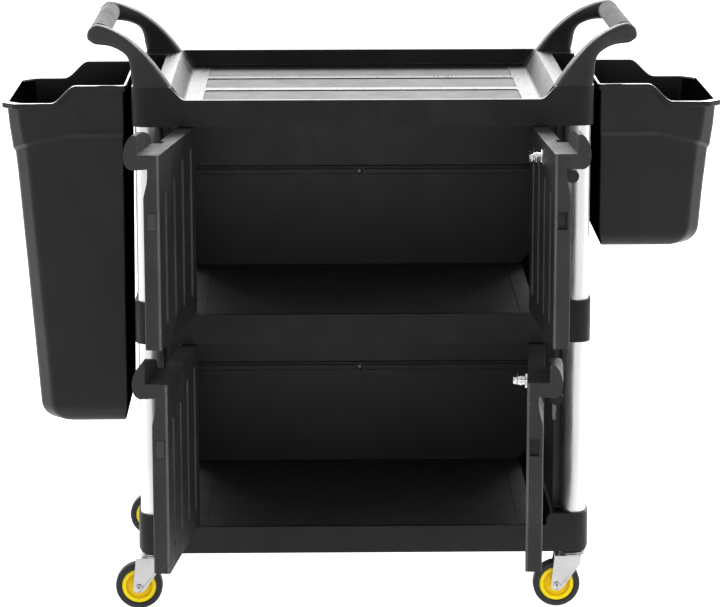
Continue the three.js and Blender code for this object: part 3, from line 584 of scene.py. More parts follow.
def insets(top, bands):
    """Shallow panels sunk in the floor, one for each band of Y."""
    shapes = []
    for near, far in bands:
        outline = [
            (x, y + (near + far) / 2)
            for x, y in rectangle(SUNK_HALF, (far - near) / 2, 7)
        ]
        floor = top - FLOOR_DROP
        shapes.append(prism(outline, "xy", floor - SUNK, floor + 1))
    return shapes


def ledge(top):
    """A low step along the foot of the rear wall."""
    floor = top - FLOOR_DROP
    half = BASIN_FLOOR - 2
    front = REAR_INNER - LEDGE_DEPTH
    return box(-half, half, front, REAR_INNER + 3, floor - 1, floor + LEDGE_HEIGHT)


def door_head(bottom, top):
    """Bosses for the rods of the doors below, and the rib that the lock's cam turns behind."""
    roof = top - FLOOR_DROP - WALL / 2
    bosses = [rod(8, bottom, roof, (side * PIVOT.x, PIVOT.y, 0)) for _, side in SIDES]
    cam_y = PIVOT.y + DOOR_HALF + 18
    return [*bosses, box(97, 157, cam_y - 6, cam_y - 2, bottom, roof)]


def door_foot(top):
    """What a shelf gives way to at the foot of the doors above it."""
    rim = top - RIM_DROP
    reach = DOOR_HALF + 1.2
    cuts = []
    for _, side in SIDES:
        centre = (side * PIVOT.x, PIVOT.y, 0)
        cuts.append(rod(reach, rim + 0.5, top + 1, centre))
        swing = box(-reach, reach, -60, 0, rim + 0.5, top + 1)
        swing.transform(Matrix.Translation(centre) @ Matrix.Rotation(side * DOOR_BEYOND, 4, "Z"))
        cuts.append(swing)
        cuts.append(rod(ROD_SOCKET, rim - 17, rim + 1, centre))
    return cuts


def pockets(top):
    """A slot in each end of the tray, with a lowered outer wall, that a bin's hook drops in."""
    floor, lip = top - POCKET_DEPTH, top - POCKET_LIP
    half = POCKET_HALF
    steps = []
    for _, side in SIDES:
        ends = sorted((side * (POCKET_NEAR - 4), side * (HALF_X - 1)))
        steps += add(box(*ends, -half - 4, half + 4, floor - 4, top - 0.5))
    for _, side in SIDES:
        ends = sorted((side * POCKET_NEAR, side * POCKET_FAR))
        steps += cut(box(*ends, -half, half, floor, top + 1))
        ends = sorted((side * (POCKET_FAR - 1), side * (HALF_X + 1)))
        steps += cut(box(*ends, -half, half, lip, top + 1))
    return steps


def end_chamfers(bottom):
    """The lowest shelf's bottom edges, cut back at both ends."""
    edge = [(HALF_X - 7, bottom - 1), (HALF_X + 1, bottom - 1), (HALF_X + 1, bottom + 8)]
    return cut(*[
        prism([(side * x, z) for x, z in edge], "xz", -HALF_Y - 1, HALF_Y + 1)
        for _, side in SIDES
    ])


PLAIN, GLOSS_AND_SHEEN, SUNK_FACE, REAR_SHADE, END_SHADE_AND_SHEEN = range(5)


def shelf_paint(top, is_tray):
    floor = top - FLOOR_DROP

    def paint(middle, normal):
        # The tray's sunk panels take a painted sheen.
        is_sunk = abs(middle.z - floor + SUNK) < 0.3 and normal.z > 0.9
        if is_tray and is_sunk:
            return SUNK_FACE
        # The inner face of the tray's rear wall takes painted shade.
        if is_tray and normal.y < -0.5 and middle.y > 0 and middle.z > floor:
            return REAR_SHADE
        # End slopes take a painted sheen on the tray and painted shade on the lower shelves.
        is_inside = abs(middle.x) < POCKET_NEAR + 10 and abs(middle.y) < REAR_INNER
        if is_inside and 0.3 < abs(normal.x) < 0.95 and middle.z > floor:
            return END_SHADE_AND_SHEEN
        looks_up = normal.z > 0.35 and middle.z > floor - 2
        # On the tray, faces that look up take a painted sheen.
        if is_tray:
            return GLOSS_AND_SHEEN if looks_up else PLAIN
        # On the lower shelves, low faces that look up take painted light.
        is_low = middle.z < top - 10 and abs(middle.y) < REAR_INNER + 1
        return SUNK_FACE if looks_up and is_low else PLAIN

    return paint


def shelf(node, bands, is_tray=False):
    low, high = span(node)
    bottom, top = low.z, high.z
    is_lowest = node == "lowest_shelf"
    steps = cut(hollow(bottom, top), basin(top), notch(top))
    if not is_lowest:
        steps += add(*door_head(bottom, top))
    if is_tray:
        steps += add(ledge(top))
        steps += pockets(top)
        bore_low, bore_high = bottom - 1, bottom + 34
    else:
        steps += cut(*door_foot(top))
        bore_low = bottom + 16 if is_lowest else bottom - 1
        bore_high = top + 1
    steps += cut(*insets(top, bands))
    steps += cut(*[
        rod(POST_RADIUS + POST_GAP, bore_low, bore_high, (x, y, 0))
        for x, y in CORNERS.values()
    ])
    if is_lowest:
        steps += end_chamfers(bottom)
    shell = carve(prism(rectangle(HALF_X, HALF_Y, CORNER, 14), "xy", bottom, top), *steps)
    soften(shell, 1.1)
    sunk_look = "inset" if is_tray else "shelf_floor_painted_light"
    end_look = "slope" if is_tray else "shelf_end"
    looks = ("shelf", "gloss", sunk_look, "shade", end_look)
    piece(node, shell, looks, paint=shelf_paint(top, is_tray))


shelf("top_tray", ((-196, -66), (-40, 66), (88, 196)), is_tray=True)
shelf("middle_shelf", ((-190, 190),))
shelf("lowest_shelf", ((-190, 190),))

# ---- posts

POST_WALL = 1.6


def post(x, y, foot, head):
    bore = POST_RADIUS - POST_WALL
    profile = [(bore, foot), (POST_RADIUS, foot), (POST_RADIUS, head), (bore, head)]
    return lathe(profile, (x, y, 0), segments=72)


for corner, (low, high) in post_boxes.items():
    piece(f"post_{corner}", post(*CORNERS[corner], low.z, high.z), ("aluminium",))

# ---- panels

SHEET = 3
SHEET_EDGE = 0.8
SCREW_RISE = 6


def side_panel(low, high, side, roof):
    """A sheet with a flange at its front that closes the gap to the post."""
    sheet = box(low.x, high.x, low.y, high.y, low.z, high.z)
    edges = sorted((side * 303, side * (POST_X - POST_RADIUS + 6)))
    flange = box(*edges, low.y, low.y + SHEET, low.z, roof)
    return soften(carve(sheet, *add(flange)), SHEET_EDGE)


def back_panel(low, high, shelf_top):
    half, foot = high.x, BASIN_FLOOR - 4
    outline = [
        (-foot, low.z), (foot, low.z), (half, shelf_top), (half, high.z),
        (-half, high.z), (-half, shelf_top),
    ]
    return soften(prism(outline, "xz", low.y, high.y), SHEET_EDGE)


def back_strip(low, high):
    """A sheet whose lower edge is a raised bead, with a round boss for the screw."""
    seam, back = low.z, high.y
    face = back - SHEET
    bead = rounded([
        (face + 1, seam), (face - 3, seam, 1.6), (face - 3, seam + 9.5, 1.6),
        (face - 1.2, seam + 10), (face - 1.2, seam + 11.3), (face - 2.2, seam + 12, 0.6),
        (face - 2.2, seam + 14.5, 1.2), (face + 1, seam + 16),
    ], 4)
    centre = (0, 0, seam + SCREW_RISE)
    strip = carve(
        box(low.x, high.x, face, back, seam, high.z),
        *add(
            prism(bead, "yz", low.x + 0.5, high.x - 0.5),
            rod(9, face - 4.5, back - 1, centre, "y", 40),
        ),
        *cut(rod(5.9, face - 10, face - 2.6, centre, "y", 40)),
    )
    return soften(strip, 0.5)


def panel_screw(head, tail, z):
    """A screw with a cross slot in its domed head."""
    slot, half = 3.2, 0.6
    return carve(
        lathe([
            (0, head), (3.4, head + 0.2), (5, head + 1.1), (5.4, head + 2.1), (5.4, head + 2.4),
            (2.2, head + 2.4), (2.2, tail), (0, tail),
        ], (0, 0, z), "y", 36),
        *cut(
            box(-slot, slot, head - 1, head + 1.4, z - half, z + half),
            box(-half, half, head - 1, head + 1.4, z - slot, z + slot),
        ),
    )


for tier, shelf_node, above_node in TIERS:
    shelf_top = span(shelf_node)[1].z
    roof = span(above_node)[0].z - 0.5
    for name, side in SIDES:
        node = f"{tier}_side_panel_{name}"
        piece(node, side_panel(*span(node), side, roof), ("panel",))
    node = f"{tier}_back_panel"
    piece(node, back_panel(*span(node), shelf_top), ("panel",))
    node = f"{tier}_back_strip"
    strip_low, strip_high = span(node)
    piece(node, back_strip(strip_low, strip_high), ("panel",))
    node = f"{tier}_panel_screw"
    low, high = span(node)
    piece(node, panel_screw(low.y, high.y, strip_low.z + SCREW_RISE), ("steel",))

# ---- doors

# Door pieces are drawn closed: hinge axis at the origin, free edge at +X, outer face at
# -Y, foot at Z = 0. Right-hand doors are the mirror image.
REACH = 271
DOOR_HEIGHT = 293
OUTER, INNER = -DOOR_HALF, DOOR_HALF
PULL_LENGTH = 110
PULL_RISE = 29

GROOVE_DEPTH = 4
GROOVE_HALF = 8
GROOVE_FOOT = 30
GROOVE_TOPS = (231, 240, 259, 265)
GROOVE_PITCH = 64

# The pocket in the free edge, which holds the catch on a left-hand door.
EDGE_LOW, EDGE_HIGH, EDGE_HALF, EDGE_DEPTH = 180, 207, 7, 8
FIT = 0.3

# The lock's axis as (x, z), and where its barrel ends behind the door.
LOCK = (146, 267)
LOCK_TAIL = INNER + 16


def door_slab():
    edge = rounded([
        (0, OUTER), (REACH, OUTER, 4), (REACH, INNER, 4), (0, INNER),
    ], 6)
    hinge = [
        (INNER * math.cos(angle), INNER * math.sin(angle))
        for angle in (math.pi * (0.5 + i / 16) for i in range(1, 16))
    ]
    return prism([*edge, *hinge], "xy", 0, DOOR_HEIGHT)


def finger_recess():
    section = rounded([
        (OUTER - 1, DOOR_HEIGHT - 70), (OUTER + 7, DOOR_HEIGHT - 39, 10),
        (OUTER + 7, DOOR_HEIGHT + 1), (OUTER - 1, DOOR_HEIGHT + 1),
    ], 8)
    return prism(section, "yz", REACH - 130, REACH + 1)


def pull():
    """The lug that stands in front of the door's top edge, scooped on its inner side."""
    top = DOOR_HEIGHT
    peak = top + PULL_RISE
    near = REACH - PULL_LENGTH
    start = (OUTER - 15, top - 23)
    waist = (OUTER - 28.5, top + 3)
    crown = (OUTER - 12, peak)
    scoop = (OUTER - 9, top + 24)
    section = [Vector((OUTER + 9, top - 21)), Vector(start)]
    section += bezier(start, (OUTER - 26, top - 23), (OUTER - 30, top - 10), waist)
    section += bezier(waist, (OUTER - 26, top + 18), (OUTER - 19, peak), crown)
    section += bezier(crown, (OUTER - 9.5, peak), (OUTER - 9, top + 27.5), scoop, 5)
    section += [Vector((OUTER - 9, top)), Vector((OUTER + 9, top))]
    face = rounded([
        (near, top - 24, 12), (REACH, top - 24), (REACH, top + 30),
        (near + 55, top + 27, 24), (near + 6, top + 13, 9), (near, top - 2, 5),
    ], 10)
    return carve(
        prism(section, "yz", near, REACH),
        *keep(prism(face, "xz", OUTER - 40, INNER)),
    )


def grooves():
    shapes = []
    for i, top in enumerate(GROOVE_TOPS):
        x = REACH - 45 - GROOVE_PITCH * i
        left, right, end = x - GROOVE_HALF, x + GROOVE_HALF, GROOVE_HALF
        outline = rounded([
            (left, GROOVE_FOOT, end), (right, GROOVE_FOOT, end), (right, top, end),
            (left, top, end),
        ], 6)
        shapes.append(prism(outline, "xz", INNER - GROOVE_DEPTH, INNER + 1))
    return shapes


def paint_door(middle, normal):
    """Painted shade darkens the inside; a painted highlight lightens groove walls facing the
    free edge or up.
    """
    behind_face = INNER - GROOVE_DEPTH + 0.1 < middle.y < INNER - 0.05
    in_groove = behind_face and GROOVE_FOOT - 10 < middle.z < GROOVE_TOPS[-1] + 5
    if in_groove and (normal.x > 0.4 or normal.z > 0.4):
        return 2
    return 1 if normal.y > 0.8 and middle.y > INNER - GROOVE_DEPTH - 1 else 0


def door(has_lock):
    steps = cut(finger_recess()) + add(pull())
    steps += cut(rod(ROD_SOCKET, -1, DOOR_HEIGHT + 1))
    steps += cut(box(
        REACH - EDGE_DEPTH, REACH + 1, -EDGE_HALF, EDGE_HALF, EDGE_LOW, EDGE_HIGH,
    ))
    steps += cut(*grooves())
    if has_lock:
        steps += cut(rod(7.8, OUTER - 1, INNER + 1, (LOCK[0], 0, LOCK[1]), "y"))
    return soften(carve(door_slab(), *steps), 0.9)


def catch():
    """A block that fills the pocket in the free edge and stands a little proud of it."""
    half = EDGE_HALF - FIT
    block = box(
        REACH - EDGE_DEPTH + FIT, REACH + 0.6, -half, half, EDGE_LOW + FIT, EDGE_HIGH - FIT,
    )
    return soften(block, 0.8)


def lock_housing():
    x, z = LOCK
    return lathe([
        (4.3, OUTER - 2), (9.6, OUTER - 2), (11, OUTER - 1.2), (11, OUTER - 0.3),
        (7.5, OUTER - 0.3), (7.5, INNER + 0.3), (13, INNER + 0.3), (13, INNER + 3.6),
        (12, INNER + 4.4), (7.5, INNER + 4.4), (7.5, INNER + 9), (8.6, INNER + 9.4),
        (8.6, INNER + 12), (7.5, INNER + 12.4), (7.5, LOCK_TAIL - 0.6), (7, LOCK_TAIL),
        (4.3, LOCK_TAIL),
    ], (x, 0, z), "y", 40)


def lock_cam():
    x, z = LOCK
    face = rounded([
        (x - 38, z + 6, 3), (x - 38, z - 6, 3), (x + 7, z - 6, 4), (x + 7, z + 6, 4),
    ])
    cam = carve(
        rod(4, OUTER - 1.5, LOCK_TAIL + 4, (x, 0, z), "y"),
        *add(
            rod(6, LOCK_TAIL + 3, LOCK_TAIL + 6, (x, 0, z), "y", 6),
            prism(face, "xz", LOCK_TAIL + 0.3, LOCK_TAIL + 3),
        ),
    )
    return soften(cam, 0.35)


# The ring that joins the two keys: its radius, and its centre from the lock's axis.
RING_RADIUS = 8
RING_WIRE = 0.9
RING_X, RING_Z = -2, -14


def key_ring(y):
    centre = Vector((LOCK[0] + RING_X, y, LOCK[1] + RING_Z))
    torus = []
    for i in range(24):
        turn = 2 * math.pi * i / 24
        out = Vector((math.cos(turn), 0, math.sin(turn)))
        torus.append([
            centre + out * RING_RADIUS + out * RING_WIRE * math.cos(angle)
            + Vector((0, RING_WIRE * math.sin(angle), 0))
            for angle in (2 * math.pi * k / 8 for k in range(8))
        ])
    return skin(torus, closed=True)


def key_blade(y, z):
    """The blade of the spare key, which hangs down below a point."""
    return rounded([
        (y - 3, z), (y - 3, z - 12), (y - 1.6, z - 13.5), (y - 2.6, z - 16),
        (y - 1.4, z - 18), (y - 2.4, z - 21), (y - 2.6, z - 24), (y, z - 27, 1.5),
        (y + 2.6, z - 24), (y + 3, z - 19), (y + 3, z),
    ], 3)


def lock_key():
    """A key in the lock with its bow upright, and a spare hanging below it on a ring."""
    x, z = LOCK
    seat = OUTER - 2
    bow_y = seat - 17
    bow = carve(
        rod(11, -1.6, 1.6, (x, bow_y, z), "x", 40),
        *cut(rod(2.2, -4, 4, (x, bow_y, z - 7), "x")),
    )
    return carve(
        soften(bow, 0.6),
        *add(
            box(x - 1, x + 1, bow_y, seat - FIT, z - 3, z + 3),
            key_ring(bow_y),
            rod(10, -1.2, 1.2, (x - 4, bow_y - 1, z - 30), "x", 36),
            prism(key_blade(bow_y + 3, z - 37), "yz", x - 4.8, x - 3.2),
        ),
    )


def door_matrix(tier, name, side):
    joint = JOINTS[f"{tier}_{name}_door_hinge"]
    x, y, _ = joint["pos_m"]
    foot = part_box(f"{tier}_{name}_door")[0].z
    angle = side * math.radians(joint["range_deg"][1])
    turn = Matrix.Translation((x, y, foot)) @ Matrix.Rotation(angle, 4, "Z")
    return turn @ Matrix.Diagonal((-side * 0.001, 0.001, 0.001, 1))


def paint_key(middle, normal):
    """Black bows, and steel for the ring, the spare's blade and the one in the lock."""
    from_ring = math.hypot(middle.x - LOCK[0] - RING_X, middle.z - LOCK[1] - RING_Z)
    is_ring = from_ring < RING_RADIUS + 1.2 and abs(normal.x) < 0.9
    is_bow = middle.z > LOCK[1] - 39.5 and middle.y < OUTER - 7.5
    return 0 if is_bow and not is_ring else 1


def hinge_rod(low, high):
    centre = ((low.x + high.x) / 2, (low.y + high.y) / 2, 0)
    return rod((high.x - low.x) / 2, low.z, high.z, centre)


for tier, _, _ in TIERS:
    for name, side in SIDES:
        place = door_matrix(tier, name, side)
        prefix = f"{tier}_{name}"
        looks = ("door", "door_inside_shade", "door_lit")
        piece(f"{prefix}_door", door(side == RIGHT), looks, place, paint_door)
        piece(f"{prefix}_hinge_rod", hinge_rod(*span(f"{prefix}_hinge_rod")), ("zinc",))
        if side == RIGHT:
            piece(f"{prefix}_lock_housing", lock_housing(), ("chrome",), place)
            piece(f"{prefix}_lock_cam", lock_cam(), ("chrome",), place)
            piece(f"{prefix}_key", lock_key(), ("key", "steel"), place, paint_key)
        else:
            piece(f"{prefix}_catch_magnet", catch(), ("catch",), place)

# ---- handles

# Sections of an arm from its foot to its end: the upper and lower edge as (x, z), then
# the middle and half width across the cart.
ARM = (
    ((297, 842.3), (355, 842.3), 206, 20.5),
    ((311, 862), (358, 858), 201, 20),
    ((328, 882), (360, 874), 192, 19),
    ((346, 899.5), (366, 887), 182, 18),
    ((365.5, 914), (379, 895), 172, 17),
    ((385, 924), (393, 899), 163, 16.5),
    ((402, 930), (406, 900), 157, 16),
    ((415, 931.5), (417, 901), 154, 15),
    ((424, 926), (425, 906), 153, 12),
)
ARM_POINTS = 60
ARM_STEPS = 5


def arm_value(i, share):
    """A smooth blend of the arm's sections: the upper x and z, the lower x and z, then the
    middle and half width, at a share of the way from section i to the next."""
    rows = []
    for k in (i - 1, i, i + 1, i + 2):
        upper, lower, middle, half = ARM[min(max(k, 0), len(ARM) - 1)]
        rows.append((*upper, *lower, middle, half))
    t = share
    weights = (
        (-t + 2 * t**2 - t**3) / 2, (2 - 5 * t**2 + 3 * t**3) / 2,
        (t + 4 * t**2 - 3 * t**3) / 2, (-(t**2) + t**3) / 2,
    )
    return [sum(w * row[c] for w, row in zip(weights, rows)) for c in range(6)]


def signed_power(value, power):
    return math.copysign(abs(value) ** power, value)


def arm_ring(i, share):
    """A ring with flat sides, and a flange along its upper edge that fades towards the end."""
    ux, uz, lx, lz, middle, half = arm_value(i, share)
    along_arm = (i + share) / (len(ARM) - 1)
    flange = 1.4 * smoothstep(0.8 - along_arm, 0, 0.35)
    squareness = 0.5 + 0.3 * smoothstep(along_arm, 0.2, 0.9)
    ring = []
    for k in range(ARM_POINTS):
        angle = 2 * math.pi * k / ARM_POINTS
        along = signed_power(math.cos(angle), squareness)
        across = signed_power(math.sin(angle), squareness)
        lip = flange * smoothstep(along, 0.55, 0.75)
        ring.append(Vector((
            (ux + lx) / 2 + (ux - lx) / 2 * along,
            middle + (half + lip) * across,
            (uz + lz) / 2 + (uz - lz) / 2 * along,
        )))
    return ring


def arm_rings():
    """The rings of one arm from its foot, closed by a domed end."""
    rings = [
        arm_ring(i, step / ARM_STEPS)
        for i in range(len(ARM) - 1) for step in range(ARM_STEPS)
    ]
    last = arm_ring(len(ARM) - 2, 1)
    middle = sum(last, Vector()) / len(last)
    rings.append(last)
    for scale, push in ((0.82, 2.2), (0.5, 3.6), (0.15, 4.2)):
        shift = Vector((push, 0, -0.3 * push))
        rings.append([middle + (point - middle) * scale + shift for point in last])
    return rings


grip_low, grip_high = span("grip_sleeve_right")
GRIP = Vector(((grip_low.x + grip_high.x) / 2, 0, (grip_low.z + grip_high.z) / 2))
GRIP_RADIUS = (grip_high.x - grip_low.x) / 2
GRIP_HALF = grip_high.y


def handle_arm(mirror):
    """One arm, cut back where the sleeve turns past its end."""
    rings = [
        [Vector((point.x, mirror * point.y, point.z)) for point in ring]
        for ring in arm_rings()
    ]
    reach = GRIP_HALF + 1
    room = rod(GRIP_RADIUS + 1.2, -reach, reach, (GRIP.x, 0, GRIP.z), "y", 48)
    return carve(skin(rings), *cut(room))


def handle():
    core = rod(10, -150, 150, (GRIP.x, 0, GRIP.z), "y")
    return soften(carve(handle_arm(1), *add(handle_arm(-1), core)), 0.7, angle=50)


FLUTES = 44
FLUTE_DEPTH = 1.0


def grip_sleeve():
    """Lengthwise flutes between two plain collars with a fine groove behind each."""
    half = GRIP_HALF
    count = FLUTES * 4
    stations = (
        (-half, 0.93, 0), (-half + 0.8, 1, 0), (-half + 3.4, 1, 0), (-half + 3.8, 0.9, 0),
        (-half + 5.2, 0.9, 0), (-half + 5.6, 0.99, 0.2), (-half + 7, 0.99, 1),
    )
    stations += tuple((-y, scale, depth) for y, scale, depth in reversed(stations))
    rings = []
    for y, scale, depth in stations:
        ring = []
        for i in range(count):
            angle = 2 * math.pi * i / count
            wave = (1 - math.cos(angle * FLUTES)) / 2
            radius = GRIP_RADIUS * scale - FLUTE_DEPTH * depth * wave**1.5
            x = GRIP.x + radius * math.cos(angle)
            ring.append((x, y, GRIP.z + radius * math.sin(angle)))
        rings.append(ring)
    return skin(rings)


MIRROR = Matrix.Diagonal((-1, 1, 1, 1))
for name, side in SIDES:
    matrix = TO_ROW @ MIRROR if side == LEFT else TO_ROW
    piece(f"handle_{name}", handle(), ("arm",), matrix)
    piece(f"grip_sleeve_{name}", grip_sleeve(), ("grip",), matrix)

# ---- bins

# The bins are drawn at the right-hand end of the cart.
BIN_NEAR, BIN_FAR, BIN_HALF = 368, 567, 145
BIN_RIM = 834
BIN_DEPTH = 552
BIN_CHAMFER = 21
BIN_WALL = 3
BIN_FOOT = 30
BIN_STEPS = 8

# The rim falls by this much between two places along the bin's side.
RIM_FALL = 28
FALL_START, FALL_END = 449, 489
SHOULDER_DROP = 77
SHOULDER_START = 462

def bin_plan(near, far, side):
    """The plan of one level from its insets, with many points along the two long sides."""
    x0, x1, y1 = BIN_NEAR + near, BIN_FAR - far, BIN_HALF - side
    bevel_x, bevel_y = x1 - BIN_CHAMFER, y1 - BIN_CHAMFER
    corners = [
        (x0, -y1, 4), (bevel_x, -y1, 6), (x1, -bevel_y, 6),
        (x1, bevel_y, 6), (bevel_x, y1, 6), (x0, y1, 4),
    ]
    outline = rounded(corners, 5)
    plan = []
    for i, point in enumerate(outline):
        after = outline[(i + 1) % len(outline)]
        plan.append(point)
        if abs(point.y - after.y) < 0.01 and abs(point.x - after.x) > 20:
            plan += [point.lerp(after, k / 28) for k in range(1, 28)]
    return plan


def rim_fall(x):
    return RIM_FALL * smoothstep(x, FALL_START, FALL_END)


def shoulder_fall(x, y, outer_y):
    """The shoulder slopes down steadily along the side and round the outer corner."""
    past = max(0, x - SHOULDER_START)
    along = past**2 / (past + 12)
    return 0.25 * along + 0.22 * min(24, max(0, outer_y - abs(y)))


def bin_ring(height, near, far, side, rim=0, shoulder=0, crease=0):
    """One level of a bin. rim and shoulder say how much of their fall it follows, and
    crease draws its sides in below the high part of the rim."""
    plan = bin_plan(near, far, side)
    outer_y = BIN_HALF - side
    ring = []
    for x, y in plan:
        drop = rim_fall(x) * rim
        if shoulder:
            drop += shoulder_fall(x, y, outer_y) * shoulder
        inward = crease if x < FALL_START and abs(y) > outer_y - 2 else 0
        ring.append(Vector((x, y - math.copysign(inward, y), height - drop)))
    return ring


def bin_wall(height, thickness, tuck=0):
    """Insets of the tapering wall at a height: near, far and side."""
    share = (BIN_RIM - height) / BIN_DEPTH
    return (
        6.5 + 3 * share + thickness + tuck * 0.25,
        13 + 37 * share + thickness + tuck,
        10 + 22 * share + thickness + tuck * 0.6,
    )


def bin_foot(bottom, thickness, rise, tuck, steps):
    """The rounded foot: rings that rise and spread from the bottom to the wall."""
    rings = []
    for k in steps:
        angle = math.pi / 2 * k / BIN_STEPS
        height = bottom + rise * (1 - math.cos(angle))
        insets = bin_wall(height, thickness, tuck * (1 - math.sin(angle)))
        rings.append(bin_ring(height, *insets))
    return rings


def bin_body(low, high, thickness, steps):
    """The tapering wall, whose rings come to follow the shoulder towards the top."""
    rings = []
    for k in steps:
        share = k / BIN_STEPS
        height = low + (high - low) * share
        rings.append(bin_ring(height, *bin_wall(height, thickness), 0, 0.9 * share**2))
    return rings


def bin_band():
    """The wider band from the shoulder over the turned-out rim and down its inside, as
    height, near, far and side insets, then the shares of rim, shoulder and crease."""
    shoulder = BIN_RIM - SHOULDER_DROP
    lip = BIN_RIM - 9
    return [bin_ring(*row) for row in (
        (shoulder - 8, *bin_wall(shoulder, 0), 0, 1),
        (shoulder - 6.5, 6.6, 17.6, 12.4, 0, 1),
        (shoulder - 0.8, 5.1, 15.4, 6.5, 0, 1),
        (shoulder + 0.2, 5, 15, 6, 0, 1),
        (shoulder + 2, 5, 14.8, 6, 0, 0.97, 0.2),
        (shoulder + 8, 5, 14, 6, 0.1, 0.85, 1.3),
        (shoulder + 35, 5, 10.4, 6, 0.55, 0.4, 1.3),
        (lip - 3, 5, 8, 6, 1, 0, 1.3),
        (lip, 4.5, 7.5, 5.5, 1, 0, 0.4),
        (lip, 1, 1, 1, 1),
        (lip + 0.8, 0.2, 0.2, 0.2, 1),
        (BIN_RIM - 2.2, 0, 0, 0, 1),
        (BIN_RIM - 0.7, 0.7, 0.7, 0.7, 1),
        (BIN_RIM, 2.2, 2.2, 2.2, 1),
        (BIN_RIM, 5.5, 10.5, 5.5, 1),
        (BIN_RIM - 2, 7.5, 12, 7.5, 1),
        (shoulder + 35, 8, 14.5, 8.8, 0.55, 0.4),
        (shoulder, 8, 18.4, 9, 0, 1),
        (shoulder - 7, *bin_wall(shoulder, BIN_WALL), 0, 1),
    )]


def bin_shell(bottom):
    low = bottom + BIN_FOOT
    high = BIN_RIM - SHOULDER_DROP - 40
    upwards = range(BIN_STEPS + 1)
    downwards = range(BIN_STEPS - 1, -1, -1)
    rings = bin_foot(bottom, 0, BIN_FOOT, BIN_FOOT, upwards)
    rings += bin_body(low, high, 0, upwards[1:])
    rings += bin_band()
    rings += bin_body(low, high, BIN_WALL, downwards)
    rings += bin_foot(bottom + BIN_WALL, BIN_WALL, BIN_FOOT - BIN_WALL, 28, downwards)
    return skin(rings)


def bin_hook():
    """Reaches over the lowered end wall of the tray and down into its pocket."""
    under = tray_high.z * 1000 - POCKET_LIP + FIT
    near, far, root = POCKET_FAR - 4.3, POCKET_FAR - FIT, BIN_NEAR + 7
    section = rounded([
        (far, under), (root, under), (root, under + 4),
        (near, under + 4, 3), (near, under - 24), (far, under - 24),
    ], 4)
    return prism(section, "xz", -90, 90)


def paint_bin(middle, normal):
    # Faces towards the cart, and the strip nearest it, take painted shade.
    if normal.x < -0.6 or middle.x < BIN_NEAR + 8:
        return 1
    # The rim's up-facing faces take a painted sheen.
    return 2 if normal.z > 0.8 and middle.z > BIN_RIM - RIM_FALL - 2 else 0


for node, matrix in (("tall_bin", TO_ROW @ MIRROR), ("short_bin", TO_ROW)):
    shell = carve(bin_shell(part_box(node)[0].z * 1000), *add(bin_hook()))
    looks = ("bin", "bin_shade", "bin_lip_sheen")
    piece(node, soften(shell, 0.4, angle=60), looks, matrix, paint_bin)

# ---- castors

# A castor is drawn with its kingpin on the Z axis and its wheel trailing towards -X.
WHEEL = 37.5
TRAIL = 25
AXLE_CENTRE = (-TRAIL, 0, WHEEL)
AXLE_RADIUS = 4
KINGPIN_BORE = 5.5
CHEEK_INNER, CHEEK_OUTER = 14.3, 16.8
RIVET_DIMPLE = 2.1


def castor_mount(top, stem):
    return lathe([
        (0, 77), (6.5, 77), (8, 78), (8, 81.5), (5, 81.5), (5, 89), (17.5, 89), (21, 89.8),
        (22, 91), (21, 92.6), (18, top - 0.3), (5.5, top - 0.3), (5.5, stem), (0, stem),
    ])


def castor_fork():
    cheek_outline = rounded([
        (-29, 85.5, 2), (-33, 48, 4), (-34.6, 28, 9.5), (-18.5, 28, 8), (4, 61, 5),
        (13, 74, 4), (13, 85.5, 2),
    ], 8)
    cheeks = [
        prism(cheek_outline, "xz", -CHEEK_OUTER, -CHEEK_INNER),
        prism(cheek_outline, "xz", CHEEK_INNER, CHEEK_OUTER),
    ]
    raceway = lathe([
        (KINGPIN_BORE, 83), (17, 83), (17.6, 84.6), (19.6, 86.2), (20.4, 87.6), (19.6, 88.6),
        (KINGPIN_BORE, 88.6),
    ])
    fork = carve(
        box(-28.7, 12.7, -16.6, 16.6, 82.3, 85.5),
        *add(*cheeks, raceway),
        *cut(
            rod(AXLE_RADIUS + FIT, -20, 20, AXLE_CENTRE, "y"),
            rod(KINGPIN_BORE, 80, 90),
        ),
    )
    return soften(fork, 0.7)


def castor_axle():
    """A rivet with a dimpled head outside each cheek of the fork."""
    head = [
        (0, 18.6), (1.5, 18.7), (2, 19.6), (4, 19.6), (5.2, 18.8), (5.5, 17.1),
        (AXLE_RADIUS, 17.1),
    ]
    profile = [(radius, -height) for radius, height in head] + head[::-1]
    return lathe(profile, AXLE_CENTRE, "y", 36)


def from_axle(point):
    return math.hypot(point.x + TRAIL, point.z - WHEEL)


# Painted shade: the dimple in each rivet head is given dark steel.
def paint_axle(middle, normal):
    is_dimple = from_axle(middle) < RIVET_DIMPLE and abs(middle.y) > CHEEK_OUTER + 1.2
    return 1 if is_dimple else 0


def mirrored_profile(half):
    """A closed profile from its half on the +height side, listed from the bore outwards."""
    return [*half, *[(radius, -height) for radius, height in reversed(half)]]


def wheel_hub():
    half = [
        (AXLE_RADIUS + FIT, 13.5), (7.6, 13.5), (8.8, 12.6), (9.4, 8), (10.8, 6.2),
        (17.4, 5.6), (19, 6.2),
        (20.6, 9), (21.8, 10), (26, 10), (27.2, 9.4), (27.5, 8.6),
    ]
    return lathe(mirrored_profile(half), AXLE_CENTRE, "y", 64)


def wheel_tyre():
    half = [
        (27.8, 10.6), (28.6, 11.6), (30, 12), (33.4, 12), (34, 11.6), (34.6, 11.6), (35.8, 11.2),
        (36.8, 9.8), (37.3, 8), (WHEEL, 5), (WHEEL, 0.5),
    ]
    return lathe(mirrored_profile(half), AXLE_CENTRE, "y", 80)


def paint_hub(middle, normal):
    return 1 if 9.2 < from_axle(middle) < 21 else 0


